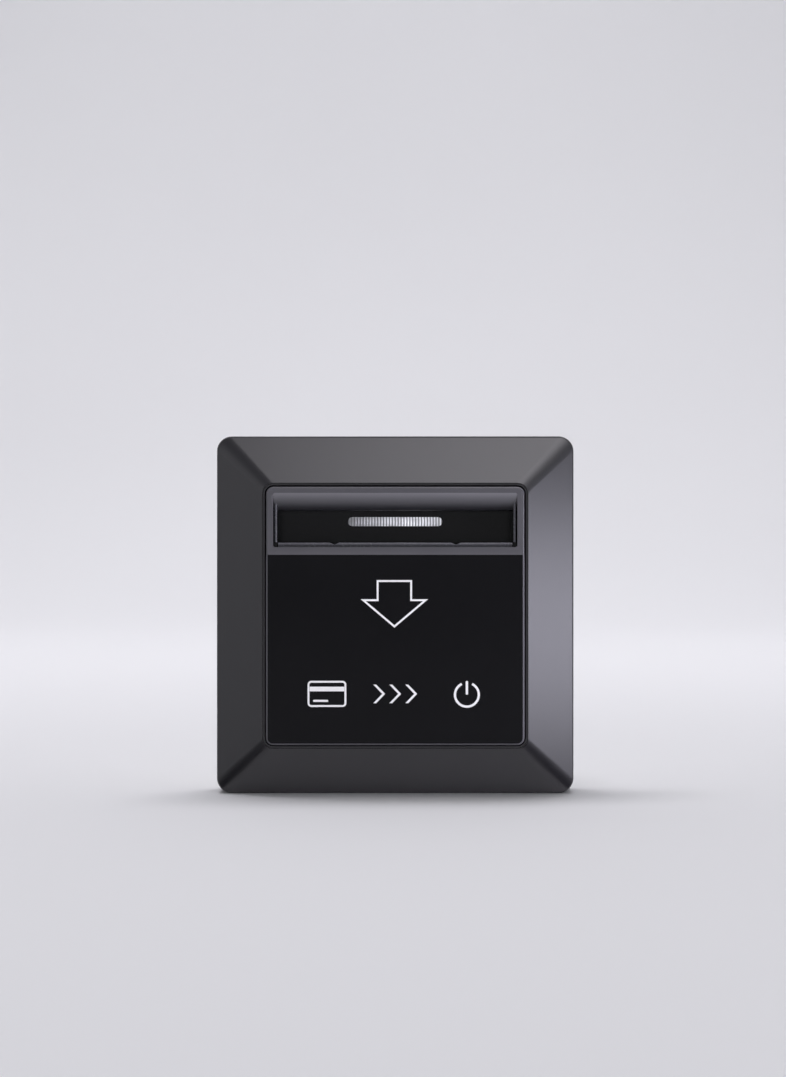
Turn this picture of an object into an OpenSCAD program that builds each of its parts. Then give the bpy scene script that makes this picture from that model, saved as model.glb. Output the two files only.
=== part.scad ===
// Hotel key card switch: a square wall plate with a slot for a key card, and behind it the reader,
// the relay and the terminals that switch the room's power.
// Every piece is drawn lying on its back: x to the right, y up the wall, z out of the wall.
// hung() stands it up, so that the front faces -Y, +Z is up and the wall is the plane Y = 0.

/* [Front frame] */
// Width and height of the plate
plate_w = 86; // [84:0.5:92]
// Height of the frame's outer edge above the wall
edge_h = 9.2; // [8:0.2:10.4]
// Height of the frame's crest above the wall
front_h = 15.6; // [15:0.2:18]
// Flat width of the crest round the opening
crest_w = 0.6; // [0.3:0.1:1]
// Wall of the frame
frame_wall = 2; // [1.6:0.1:2.4]
// Radius of the outer corners
corner_r = 3.6; // [2.6:0.1:5]
// Radius along the outer edge
edge_r = 1; // [0.4:0.1:1.5]
// Width and height of the opening
opening_w = 62; // [61:0.2:64]
// Radius of the opening's corners
opening_r = 2; // [1.6:0.1:3]
// Wall of the collar that lines the opening
collar_wall = 1.4; // [1:0.1:1.8]
// Gap between the frame's rim and the wall
rim_gap = 0.2; // [0.1:0.1:0.6]
// Radius of the four posts that hold the front on the base plate
post_r = 2; // [1.6:0.1:2.4]
// Distance of the posts from the frame's outer edge
post_inset = 7; // [6.4:0.1:7.6]
// Distance of the posts' and bosses' roots below the frame's face
root_depth = 0.6; // [0.4:0.1:1]
// Width of the pry notch under the frame
pry_w = 9; // [6:0.5:12]
// Height of the pry notch
pry_h = 1.4; // [0.8:0.1:2]

/* [Centre cover] */
// Gap between the frame and the cover all round
reveal = 0.3; // [0.2:0.05:0.5]
// Height of the cover's face above the crest
face_rise = 0.2; // [0:0.1:0.5]
// Thickness of the cover's face
cover_t = 1; // [0.8:0.1:1.4]
// Wall round the cover
cover_wall = 0.9; // [0.7:0.1:1.1]
// Radius along the cover's front edge
cover_edge_r = 0.4; // [0.2:0.1:0.6]
// Width of the rim beside the card window
side_rim = 1.7; // [1.6:0.1:2.4]
// Width of the rim above the card window
top_rim = 1.5; // [1.4:0.1:2.2]
// Height of the card window down to the bar
window_h = 12.9; // [12:0.1:14]
// Height of the bar under the card window
bar_h = 1.8; // [1.2:0.1:2.6]
// Radius of the roll that turns in from the face above the card
roll_r = 4.2; // [3.4:0.1:4.6]
// Width of the flange that seats behind the collar
flange_w = 2; // [1.6:0.1:2.4]
// Thickness of that flange
flange_t = 1.4; // [1:0.1:1.8]
// Radius of the tabs round the front screws
tab_r = 2.6; // [2.3:0.1:3]

/* [Front panel] */
// Thickness of the glossy panel
panel_t = 1.2; // [0.8:0.1:1.6]
// Bevel round the panel's face
panel_bevel = 0.4; // [0.2:0.1:0.6]

/* [Card pocket] */
// Wall beside the pocket, which takes a card 54 wide
pocket_side = 1.85; // [1.5:0.05:2.2]
// Wall under the pocket's floor
pocket_foot = 1.7; // [1.2:0.1:2.4]
// Thickness of the tray's back
tray_t = 1.2; // [1:0.1:1.6]
// Draft of the scoop's side walls, from back to front
scoop_draft = 0.4; // [0:0.1:0.8]
// How far the scoop's sides run down past the bar's top
scoop_sink = 0.45; // [0.2:0.05:0.8]
// Fit between the tray and the cover
nest = 0.05; // [0.05:0.05:0.2]
// Thickness of the guide plate
guide_t = 0.6; // [0.5:0.1:1]
// Height of the guide's lip above the bar
lip_rise = 1.1; // [0.6:0.1:1.6]
// Distance of the lip's notches from the middle
notch_x = 14.45; // [10:0.05:20]
// Width of the lip's notches
notch_w = 2.4; // [1.6:0.1:3]
// Depth of the lip's notches
notch_d = 0.5; // [0.3:0.1:0.6]
// Thickness of the guide's two ribs
rib_t = 1.2; // [0.8:0.1:1.4]
// Gap between the ribs and the pocket's floor
rib_gap = 0.3; // [0.2:0.1:0.6]
// Room left for the card between rib and back at the pocket's floor
card_room = 1.2; // [1:0.1:2]

/* [Indicator] */
// Length of the lens
lens_l = 22.7; // [18:0.1:26]
// Height of the lens
lens_h = 2.3; // [1.8:0.1:3]
// Distance of the lens below the top of the card window
lens_drop = 6.9; // [6.2:0.1:7.6]
// How far the lens stands out of the scoop's wall
lens_proud = 0.3; // [0.1:0.1:0.6]
// Distance between the lens's ribs
lens_pitch = 0.71; // [0.6:0.01:1.2]
// Depth of the grooves between the ribs
lens_groove = 0.3; // [0.1:0.05:0.4]
// Plain length at each end of the lens
lens_end = 1.3; // [1:0.1:2.5]
// Width of the lens's flange round it
lens_flange_w = 1.2; // [0.8:0.1:1.6]
// Thickness of the lens's flange
lens_flange_t = 1; // [0.6:0.1:1.2]
// Fit of the lens in the tray
lens_fit = 0.1; // [0.05:0.05:0.2]
// Distance of each lamp from the middle
led_x = 6; // [4:0.5:8]
// Length of a lamp
led_l = 3.5; // [2:0.1:4]
// Width of a lamp
led_w = 2.8; // [1.6:0.1:3]
// Height of a lamp
led_h = 1.1; // [1:0.1:1.3]
// Gap between the lamps and the lens
lens_gap = 0.3; // [0.2:0.05:0.5]
// Distance between the lamps and the edge of the base plate's window
led_edge = 1.2; // [0.8:0.1:2]

/* [Front screws] */
// Height of the front screws above and below the middle
front_screw_y = 20; // [14:0.5:23]
// Radius of the front screws
front_screw_r = 1.1; // [0.9:0.1:1.2]
// Radius of their heads
front_head_r = 2; // [1.7:0.1:2.2]
// Height of their heads
front_head_h = 1.5; // [1:0.1:1.6]
// Radius of their bosses in the frame
front_boss_r = 2; // [1.8:0.1:2.1]
// Room between a boss and the opening
front_boss_clear = 0.2; // [0.1:0.05:0.4]
// Length of the front screws' thread in the frame
front_bite = 2.8; // [2:0.1:3]
// Thickness of the tray's ears
ear_t = 1.4; // [1:0.1:1.8]
// Height of the ears above the tray's back
ear_lift = 2.2; // [2:0.1:2.6]
// Width of the slot in every screw's head
drive_w = 0.6; // [0.4:0.1:0.8]
// Room past every screw's tip
tip_room = 0.4; // [0.2:0.1:0.6]

/* [Base plate] */
// Thickness of the base plate
base_t = 2.4; // [2.2:0.1:3]
// Room between the base plate and the inside of the frame
base_room = 1; // [0.5:0.1:1.4]
// Radius of the base plate's corners
base_r = 2; // [1:0.1:3]
// Distance between the wall screws
fixing_pitch = 60.3; // [60:0.1:60.6]
// Width of the slots for the wall screws
fixing_slot_w = 4.5; // [4.2:0.1:5]
// Length of the slots for the wall screws
fixing_slot_l = 7.5; // [6:0.1:8]
// Width of the recess for a wall screw's head
fixing_head_w = 8; // [7.4:0.1:8.4]
// Depth of the recess for a wall screw's head
fixing_head_d = 1; // [0.6:0.1:1.2]
// Running fit of the posts in their sockets
post_fit = 0.05; // [0.03:0.01:0.1]
// Wall round a post's socket
socket_wall = 1.3; // [1:0.1:1.6]
// Height of the sockets above the base plate
socket_h = 3; // [2:0.2:4]
// Floor under a post's socket
socket_floor = 0.6; // [0.4:0.1:1]
// Gap between a post's end and its socket's floor
post_gap = 0.4; // [0.2:0.1:0.8]

/* [Rear housing] */
// Width of the rear housing
rear_w = 50; // [49:0.5:51]
// Height of the rear housing
rear_h = 60; // [59:0.5:62]
// Depth of the rear housing behind the wall
rear_d = 26; // [25:0.5:32]
// Wall of the rear housing
rear_wall = 1.8; // [1.4:0.1:2]
// Radius of the rear housing's corners
rear_r = 3; // [2.4:0.1:4]
// Depth that the housing's rim sits in the base plate
rear_seat = 0.8; // [0.5:0.1:1]
// Fit of the rim in the base plate
rear_fit = 0.2; // [0.1:0.05:0.3]
// Radius of the columns for the plate screws
column_r = 2.6; // [2.4:0.1:2.8]
// Length of those columns
column_l = 5.8; // [5:0.1:6]
// How far the columns run into the housing's walls
column_sink = 0.3; // [0.2:0.1:0.6]
// Radius of the plate screws
plate_screw_r = 1.25; // [1:0.05:1.4]
// Radius of their heads
plate_head_r = 2.5; // [2.2:0.1:2.7]
// How far their heads lie below the base plate's face
plate_head_sink = 0.1; // [0:0.05:0.2]
// Straight length of their holes behind the heads
plate_land = 0.3; // [0.2:0.1:0.6]
// Floor under the screw holes in the columns
column_floor = 0.6; // [0.4:0.1:1]

/* [Boards] */
// Thickness of the circuit boards
board_t = 1.6; // [1:0.1:1.6]
// How far the reader board lies below the base plate's face
reader_drop = 0.4; // [0.2:0.1:0.6]
// Gap round the boards
board_gap = 0.4; // [0.3:0.1:0.8]
// Distance of the board screws from the middle
board_screw_x = 18.3; // [18:0.1:18.6]
// Distance of the upper board screws below the housing's top
board_screw_drop = 11; // [10.6:0.1:11.6]
// Height of the lower board screws, below the middle
board_screw_low = 13.5; // [12:0.1:14]
// Radius of the board screws
board_screw_r = 1.2; // [1:0.1:1.2]
// Radius of their heads
board_head_r = 2.1; // [1.8:0.1:2.2]
// Height of their heads
board_head_h = 1.3; // [0.8:0.1:1.3]
// Length of the board screws under their heads
board_screw_l = 16; // [14:0.5:18]
// Radius of the spacers and of the housing's board columns
spacer_r = 2.3; // [2.1:0.1:2.4]
// Fit of a screw in its hole
screw_fit = 0.05; // [0.03:0.01:0.1]
// Room round a screw in a piece that it passes through
screw_room = 0.2; // [0.1:0.05:0.25]

/* [Reader] */
// Width of the antenna coil
coil_w = 31; // [26:0.5:32]
// Height of the antenna coil
coil_h = 34; // [28:0.5:35]
// Width of the coil's band
coil_band = 4.5; // [3:0.1:4.8]
// Radius of the coil's corners
coil_r = 5.5; // [5:0.1:8]
// Thickness of the coil
coil_t = 1.2; // [0.6:0.1:1.3]
// Height of the coil's middle, below the middle of the plate
coil_low = 5; // [4.6:0.1:6]
// Width of the reader chip
reader_chip_w = 5; // [4:0.1:6]
// Width of the controller chip
controller_w = 10; // [7:0.1:12]
// Distance of the controller chip from the middle
controller_x = 10; // [8:0.1:10.4]
// Thickness of both chips
chip_t = 1; // [0.7:0.1:1.2]
// Length of the header between the boards
header_l = 12.7; // [7.6:0.1:15]
// Width of the header
header_w = 5; // [2.5:0.1:5.2]
// Distance of the header from the middle
header_x = 8.4; // [7.8:0.1:9]

/* [Relay] */
// Length of the relay
relay_l = 30; // [29:0.2:30.4]
// Width of the relay
relay_w = 24; // [22:0.2:24.4]
// Height of the relay
relay_h = 17; // [16.8:0.1:18]
// Distance of the relay's middle below the housing's top
relay_drop = 27; // [26.8:0.1:27.4]
// Gap between the relay and the housing's floor
relay_floor_gap = 1.6; // [1:0.1:2]
// Wall of the relay's cover
relay_wall = 0.9; // [0.6:0.1:1]
// Thickness of the relay's base
relay_base_t = 2; // [1.6:0.1:2.2]
// Fit of the relay's base in its cover
relay_fit = 0.1; // [0.05:0.05:0.2]
// Distance of the yoke from the base's end
yoke_inset = 0.6; // [0.3:0.1:0.8]
// Thickness of the yoke
yoke_t = 1.6; // [1.4:0.1:1.7]
// Width of the yoke and the armature
yoke_w = 12; // [8:0.2:14]
// Radius of the coil's flanges
bobbin_r = 7.4; // [6.8:0.1:7.4]
// Thickness of the coil's flanges
bobbin_flange = 0.8; // [0.6:0.1:1.2]
// Gap between the coil's flanges and the yoke
bobbin_gap = 0.3; // [0.2:0.1:0.5]
// Wall of the coil's tube
bobbin_wall = 0.8; // [0.6:0.1:1]
// Radius of the winding
winding_r = 6.8; // [5:0.1:6.8]
// Radius of the core
core_r = 3; // [2.4:0.1:3.2]
// How far the core stands out of the coil
core_proud = 0.4; // [0.3:0.1:0.6]
// Gap between the core's face and the armature at rest
pole_gap = 1; // [1:0.05:1.2]
// Thickness of the armature
armature_t = 1.4; // [1:0.1:1.5]
// How far the armature runs past the core
armature_over = 2; // [1:0.1:2.4]
// How far the armature's heel runs past the yoke
armature_heel = 0.2; // [0.1:0.05:0.3]
// Radius of the bead that the armature turns on
bead_r = 0.6; // [0.5:0.05:0.6]
// Distance of the bead's middle below the armature, and of the yoke's end below that
bead_drop = 0.2; // [0.2:0.05:0.3]
// Running fit of the bead in the yoke
bead_fit = 0.05; // [0.03:0.01:0.08]
// Angle that the armature turns through, in degrees
armature_turn = 4; // [2:0.5:4]
// Thickness of the contact arm
arm_t = 0.4; // [0.2:0.05:0.5]
// Width of the contact arm
arm_w = 6; // [4:0.2:8]
// Length of the contact arm past its contact
arm_end = 0.5; // [0.2:0.1:1]
// Room between the contact arm and the cover
arm_room = 0.7; // [0.4:0.1:1]
// Radius of the contacts
contact_r = 2; // [1.4:0.1:2.4]
// Height of the moving contact under its arm
contact_h = 2; // [1.4:0.1:2.2]
// Height of the fixed contact's button
button_h = 1; // [0.6:0.1:1.4]
// Distance of the contacts from the relay's end
contact_inset = 5.5; // [5:0.1:6]
// Gap left between the contacts when the armature is drawn in
contact_gap = 0.1; // [0.05:0.05:0.2]
// Thickness of the fixed contact's bracket
bracket_t = 0.8; // [0.6:0.1:1]
// Gap between the bracket and the base's end
bracket_gap = 0.4; // [0.2:0.1:0.8]

/* [Power supply] */
// Length of the transformer
transformer_l = 14; // [11:0.2:14.4]
// Width of the transformer
transformer_w = 10.6; // [8:0.2:11]
// Height of the transformer
transformer_h = 13; // [8:0.2:14]
// Length of the film capacitor
film_l = 14; // [10:0.2:14.4]
// Width of the film capacitor
film_w = 9; // [5:0.2:10]
// Height of the film capacitor
film_h = 12; // [8:0.2:14]
// Distance between the transformer and the film capacitor
supply_gap = 1.6; // [1:0.1:2]
// Distance between the relay and its neighbours
relay_room = 1; // [0.5:0.1:1.2]
// Radius of the electrolytic capacitor
electrolytic_r = 3.5; // [2.5:0.1:3.5]
// Height of the electrolytic capacitor
electrolytic_h = 12; // [8:0.2:14]
// Radius of the varistor
varistor_r = 4.5; // [3:0.1:4.6]
// Thickness of the varistor
varistor_t = 4; // [2.5:0.1:5]
// Radius of the fuse
fuse_r = 1.8; // [1.2:0.1:2.2]
// Length of the fuse
fuse_l = 9; // [6:0.1:9.4]

/* [Terminals] */
// Distance between the terminals
terminal_pitch = 10; // [9:0.1:10.1]
// Height of the terminal block up the wall
terminal_h = 12; // [11.6:0.1:12]
// Wall between the block's cells
terminal_wall = 3.2; // [2.4:0.1:3.4]
// Wall at the block's ends
terminal_end = 1.8; // [1.2:0.1:1.9]
// Wall below the block's cells, where the wires go in
terminal_front = 1.6; // [1.2:0.1:2]
// Depth of the block behind the cells, where the screws sit
terminal_back = 3.4; // [3:0.1:3.6]
// Width of a wire entry
entry_w = 3.8; // [3:0.1:3.8]
// Height of a clamp
clamp_h = 6.6; // [6:0.1:7]
// Depth of a clamp up the wall
clamp_l = 7.6; // [6:0.1:8]
// Wall of a clamp
clamp_wall = 1; // [0.8:0.1:1.2]
// Fit of a clamp in its cell
clamp_fit = 0.15; // [0.1:0.05:0.25]
// Width of the tail between clamp and board
tail_w = 3; // [2:0.1:3.6]
// Radius of the terminal screws
terminal_screw_r = 1.9; // [1.4:0.05:2]
// Radius of their heads
terminal_head_r = 2.4; // [2.2:0.05:2.5]
// Height of their heads
terminal_head_h = 2.2; // [1.6:0.1:2.4]
// How far the screws lie below the block's back
terminal_screw_sink = 0.4; // [0.2:0.1:0.8]
// How far the screws' tips stand in the clamps
terminal_bite = 0.4; // [0.2:0.1:0.8]
// Gap between the terminal block and the housing
terminal_gap = 0.3; // [0.2:0.05:0.4]

/* [Hidden] */
$fn = 48;
eps = 0.01;
// How far the shapes of one solid run into each other
join = 0.5;

half = plate_w / 2;
opening_half = opening_w / 2;
crest_half = opening_half + crest_w;
bevel_tan = (front_h - edge_h) / (half - crest_half);
bevel_long = sqrt(1 + bevel_tan * bevel_tan);
edge_z = edge_h + edge_r * (bevel_tan - bevel_long);
frame_inside = half - frame_wall;
inside_r = corner_r - frame_wall;

function bevel_z(x) = edge_h + (half - x) * bevel_tan;
function ceiling_z(x) = bevel_z(x) - frame_wall * bevel_long;

reader_face = base_t - reader_drop;
reader_back = reader_face - board_t;
lens_back = reader_face + led_h + lens_gap;
tray_back = lens_back + lens_flange_t;
tray_floor = tray_back + tray_t;
ear_back = tray_back + ear_lift;
flange_back = ear_back + ear_t;
flange_front = flange_back + flange_t;

cover_half = opening_half - reveal;
cover_r = opening_r - reveal;
cover_face = front_h + face_rise;
cover_back = cover_face - cover_t;
cover_inside = cover_half - cover_wall;
flange_half = cover_half + flange_w;
window_half = cover_half - side_rim;
window_top = cover_half - top_rim;
bar_top = window_top - window_h;
roll_low = window_top - roll_r;
roll_back = cover_face - roll_r;
bar_low = bar_top - bar_h;

guide_back = cover_back - guide_t;
lip_top = bar_top + lip_rise;
tray_half = cover_inside - nest;
pocket_half = tray_half - pocket_side;
pocket_low = -tray_half + pocket_foot;
scoop_low = bar_top - scoop_sink;
lens_y = window_top - lens_drop;

front_screw_x = opening_half + front_boss_r + front_boss_clear;
front_screw_tip = flange_front + front_bite;
post_x = half - post_inset;
post_end = socket_floor + post_gap;
socket_top = base_t + socket_h;
base_half = frame_inside - base_room;

column_x = rear_w / 2 - rear_wall - column_r + column_sink;
column_y = rear_h / 2 - rear_wall - column_r + column_sink;
column_in_x = column_x - column_r;
column_in_y = column_y - column_r;
plate_hole_r = plate_screw_r + screw_room;
plate_cone_low = rear_seat + plate_land;
plate_screw_tip = rear_seat - column_l + column_floor + tip_room;
head_in_x = column_x - plate_head_r - board_gap;
head_in_y = column_y - plate_head_r - board_gap;

lobe_top = lens_y + led_w / 2 + led_edge;

rear_floor = -rear_d + rear_wall;
board_screw_top = rear_h / 2 - board_screw_drop;
power_back = rear_floor + relay_floor_gap + relay_h;
power_face = power_back + board_t;
board_pilot_r = board_screw_r + screw_fit;
board_hole_r = board_screw_r + screw_room;

relay_y = rear_h / 2 - relay_drop;
relay_in_l = relay_l / 2 - relay_wall - relay_fit;
relay_in_w = relay_w / 2 - relay_wall - relay_fit;
yoke_x = -relay_in_l + yoke_inset;
coil_x = yoke_x + yoke_t + bobbin_gap + bobbin_r;
arm_top = relay_h - relay_wall - arm_room;
armature_top = arm_top - arm_t;
armature_low = armature_top - armature_t;
pole_z = armature_low - pole_gap;
bobbin_top = pole_z - core_proud;
bobbin_low = relay_base_t + yoke_t;
bead_x = yoke_x + yoke_t / 2;
bead_z = armature_low - bead_drop;
yoke_top = bead_z - bead_drop;
contact_x = relay_l / 2 - contact_inset;
contact_drop = (contact_x + contact_r - bead_x) * tan(armature_turn);
button_top = armature_top - contact_h - contact_drop - contact_gap;
button_low = button_top - button_h;

supply_y = relay_y + relay_w / 2 + relay_room;
transformer_x = -(transformer_l + supply_gap) / 2;
film_x = (film_l + supply_gap) / 2;
strip_x = (relay_l / 2 + rear_w / 2 - rear_wall) / 2;

terminal_low = -rear_h / 2;
terminal_top = terminal_low + terminal_h;
cell_w = terminal_pitch - terminal_wall;
terminal_half = 1.5 * terminal_pitch + cell_w / 2 + terminal_end;
cell_low = terminal_low + terminal_front;
cell_back = -rear_d + terminal_back;
clamp_w = cell_w - 2 * clamp_fit;
clamp_low = cell_low + clamp_fit;
clamp_back = cell_back + clamp_fit;
clamp_front = clamp_back + clamp_h;
entry_z = (clamp_back + clamp_front) / 2;
terminal_screw_z = -rear_d + terminal_screw_sink;

// Stands a piece up against the wall.
module hung() {
    rotate([90, 0, 0]) children();
}

// A rectangle with round corners.
module rounded(w, h, r) {
    square([w - 2 * r, h], center = true);
    square([w, h - 2 * r], center = true);
    for (sx = [-1, 1], sy = [-1, 1])
        translate([sx * (w / 2 - r), sy * (h / 2 - r)]) circle(r = r);
}

// A plate with round corners between two heights.
module slab(w, h, r, z0, z1) {
    translate([0, 0, z0]) linear_extrude(z1 - z0) rounded(w, h, r);
}

module block(x0, x1, y0, y1, z0, z1) {
    translate([x0, y0, z0]) cube([x1 - x0, y1 - y0, z1 - z0]);
}

module rod(r, z0, z1) {
    translate([0, 0, z0]) cylinder(r = r, h = z1 - z0);
}

// A hole or a pin with round ends, l long and w high.
module stadium(l, w, z0, z1) {
    block(-(l - w) / 2, (l - w) / 2, -w / 2, w / 2, z0, z1);
    for (sx = [-1, 1]) translate([sx * (l - w) / 2, 0, 0]) rod(w / 2, z0, z1);
}

module four(x, y) {
    for (sx = [-1, 1], sy = [-1, 1]) translate([sx * x, sy * y, 0]) children();
}

// The four places of the board screws.
module board_places() {
    for (sx = [-1, 1], y = [board_screw_top, -board_screw_low])
        translate([sx * board_screw_x, y, 0]) children();
}

// The four places of the terminals.
module terminal_places() {
    for (i = [-1.5 : 1 : 1.5]) translate([i * terminal_pitch, 0, 0]) children();
}

// An outline in y and z, drawn out along x.
module along_x(l) {
    rotate([90, 0, 90]) linear_extrude(l, center = true) children();
}

// An outline in x and z, drawn out along y.
module along_y(l) {
    rotate([90, 0, 0]) linear_extrude(l, center = true) children();
}

// One level of the frame's skin, s in from the edge.
module frame_level(s, z0, z1) {
    slab(plate_w - 2 * s, plate_w - 2 * s, corner_r - s, z0, z1);
}

module frame_skin() {
    hull() {
        frame_level(0, rim_gap, edge_z);
        for (a = [20 : 20 : 60]) {
            z = edge_z + edge_r * sin(a);
            frame_level(edge_r * (1 - cos(a)), z - eps, z);
        }
        slab(2 * crest_half, 2 * crest_half, opening_r + crest_w, front_h - eps, front_h);
    }
}

module frame_hollow() {
    difference() {
        hull() {
            slab(2 * frame_inside, 2 * frame_inside, inside_r, -1, ceiling_z(frame_inside));
            slab(opening_w, opening_w, opening_r, -1, ceiling_z(opening_half));
        }
        slab(opening_w + 2 * collar_wall, opening_w + 2 * collar_wall, opening_r + collar_wall,
            flange_front, front_h);
    }
}

module front_frame() {
    color("#2c2c30") hung() difference() {
        union() {
            difference() {
                frame_skin();
                frame_hollow();
            }
            four(front_screw_x, front_screw_y)
                rod(front_boss_r, flange_front, bevel_z(front_screw_x + front_boss_r) - root_depth);
            four(post_x, post_x) rod(post_r, post_end, bevel_z(post_x + post_r) - root_depth);
        }
        slab(opening_w, opening_w, opening_r, -1, front_h + 1);
        four(front_screw_x, front_screw_y)
            rod(front_screw_r + screw_fit, flange_front - 1, front_screw_tip + tip_room);
        block(-pry_w / 2, pry_w / 2, -half - 1, -frame_inside + 1, -1, rim_gap + pry_h);
    }
}

// The tab round a front screw, from the wall at x0 outwards.
module screw_tabs(x0, z0, z1) {
    for (sx = [-1, 1], sy = [-1, 1]) {
        translate([sx * front_screw_x, sy * front_screw_y, 0]) rod(tab_r, z0, z1);
        translate([sx * (x0 + front_screw_x) / 2, sy * front_screw_y, (z0 + z1) / 2])
            cube([front_screw_x - x0, 2 * tab_r, z1 - z0], center = true);
    }
}

// The roll above the card, rooted in the cover's walls.
module window_roll() {
    root = cover_inside + cover_wall / 3;
    along_x(2 * root) polygon(concat(
        [for (a = [0 : 7.5 : 90]) [window_top - roll_r * sin(a), roll_back + roll_r * cos(a)]],
        [[root, roll_back], [root, cover_back]]
    ));
}

module cover_shell() {
    difference() {
        union() {
            hull() {
                slab(2 * cover_half, 2 * cover_half, cover_r, flange_back, cover_face - cover_edge_r);
                for (a = [30 : 30 : 90]) {
                    s = cover_edge_r * (1 - cos(a));
                    z = cover_face - cover_edge_r * (1 - sin(a));
                    slab(2 * (cover_half - s), 2 * (cover_half - s), cover_r - s, z - eps, z);
                }
            }
            slab(2 * flange_half, 2 * flange_half, cover_r + flange_w, flange_back, flange_front);
            screw_tabs(cover_half - cover_wall, flange_back, flange_front);
        }
        slab(2 * cover_inside, 2 * cover_inside, cover_r - cover_wall, flange_back - 1, cover_back);
        block(-half, half, -half, bar_low, cover_back, cover_face + 1);
        block(-window_half, window_half, bar_top, window_top, cover_back - 1, cover_face + 1);
        block(-cover_inside, cover_inside, -cover_inside, bar_low, flange_back, cover_face + 1);
        four(front_screw_x, front_screw_y)
            rod(front_screw_r + screw_room, flange_back - 1, flange_front + 1);
    }
}

module centre_cover() {
    color("#3a3a3f") hung() {
        cover_shell();
        window_roll();
    }
}

// The panel's outline: square above, round below, s in from the edge.
module panel_outline(s) {
    w = 2 * (cover_half - s);
    h = bar_low + cover_half - 2 * s;
    translate([0, (bar_low - cover_half) / 2]) {
        rounded(w, h, cover_r - s);
        translate([0, h / 4]) square([w, h / 2], center = true);
    }
}

module front_panel() {
    top = cover_back + panel_t;
    color("#17171a") hung() hull() {
        translate([0, 0, cover_back]) linear_extrude(panel_t - panel_bevel) panel_outline(0);
        translate([0, 0, top - eps]) linear_extrude(eps) panel_outline(panel_bevel);
    }
}

module card_guide() {
    rib_deep = guide_back - tray_floor - card_room;
    rib_top = bar_low;
    rib_low = pocket_low + rib_gap;
    color("#55555a") hung() difference() {
        union() {
            block(-tray_half, tray_half, -tray_half, scoop_low, guide_back, cover_back);
            block(-pocket_half, pocket_half, scoop_low - join, lip_top - guide_t / 2, guide_back, cover_back);
            translate([0, lip_top - guide_t / 2, guide_back + guide_t / 2]) rotate([0, 90, 0])
                cylinder(r = guide_t / 2, h = 2 * pocket_half, center = true);
            for (sx = [-1, 1]) translate([sx * notch_x, 0, 0]) along_x(rib_t)
                polygon([[rib_top, guide_back], [rib_low, guide_back],
                    [rib_low, guide_back - rib_deep]]);
        }
        for (sx = [-1, 1]) translate([sx * notch_x, lip_top, guide_back - 1]) linear_extrude(guide_t + 2)
            polygon([[-notch_w / 2, 0], [0, -notch_d], [notch_w / 2, 0], [notch_w / 2, 1],
                [-notch_w / 2, 1]]);
    }
}

// The scoop's outline from above, wider at the front.
module scoop_width() {
    back = window_half - scoop_draft;
    polygon([[-back, tray_floor - 1], [back, tray_floor - 1], [back, tray_floor],
        [window_half, cover_back], [window_half, cover_back + 2], [-window_half, cover_back + 2],
        [-window_half, cover_back], [-back, tray_floor]]);
}

module card_tray() {
    color("#1b1b1e") hung() difference() {
        union() {
            slab(2 * tray_half, 2 * tray_half, cover_r - cover_wall, tray_back, guide_back);
            intersection() {
                slab(2 * tray_half, 2 * tray_half, cover_r - cover_wall, tray_back, cover_back);
                block(-half, half, lip_top + nest, roll_low - nest, tray_back, cover_back);
            }
            screw_tabs(tray_half - join, ear_back, flange_back);
        }
        block(-pocket_half, pocket_half, pocket_low, scoop_low + 1, tray_floor, guide_back + 2);
        intersection() {
            block(-half, half, scoop_low, roll_low, tray_floor, cover_back + 1);
            along_y(plate_w) scoop_width();
        }
        block(-half, half, roll_low - nest, half, roll_back - nest, cover_back + 1);
        translate([0, lens_y, 0])
            stadium(lens_l + 2 * lens_fit, lens_h + 2 * lens_fit, tray_back - 1, tray_floor + 1);
        four(front_screw_x, front_screw_y)
            rod(front_screw_r + screw_room, ear_back - 1, flange_back + 1);
    }
}

module indicator_lens() {
    face = tray_floor + lens_proud;
    ribs = floor((lens_l - 2 * lens_end) / lens_pitch);
    first = -ribs * lens_pitch / 2;
    color("#d8dade", 0.8) hung() translate([0, lens_y, 0]) difference() {
        union() {
            stadium(lens_l, lens_h, tray_back - eps, face);
            stadium(lens_l + 2 * lens_flange_w, lens_h + 2 * lens_flange_w, lens_back, tray_back);
        }
        along_y(lens_h + 1) polygon(concat(
            [for (i = [0 : 2 * ribs]) [first + i * lens_pitch / 2, face - lens_groove * (i % 2)]],
            [[-first, face + 1], [first, face + 1]]
        ));
    }
}

// A screw with a slotted head, pointing out of the wall from z0.
module screw_up(r, head_r, head_h, z0, tip) {
    difference() {
        union() {
            rod(head_r, z0, z0 + head_h);
            rod(r, z0 + head_h - eps, tip);
        }
        block(-head_r, head_r, -drive_w / 2, drive_w / 2, z0 - 1, z0 + head_h / 2);
    }
}

module front_screws() {
    color("#b0b0b4") hung() four(front_screw_x, front_screw_y)
        screw_up(front_screw_r, front_head_r, front_head_h, ear_back - front_head_h, front_screw_tip);
}

// A slot for a wall screw.
module fixing_slots(l, w, z0, z1) {
    for (sx = [-1, 1]) translate([sx * fixing_pitch / 2, 0, 0]) stadium(l, w, z0, z1);
}

// The space between the plate screws, s smaller all round.
module cross(s, z0, z1) {
    block(-column_x + s, column_x - s, -head_in_y + s, head_in_y - s, z0, z1);
    block(-head_in_x + s, head_in_x - s, -column_y + s, lobe_top - s, z0, z1);
}

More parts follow.
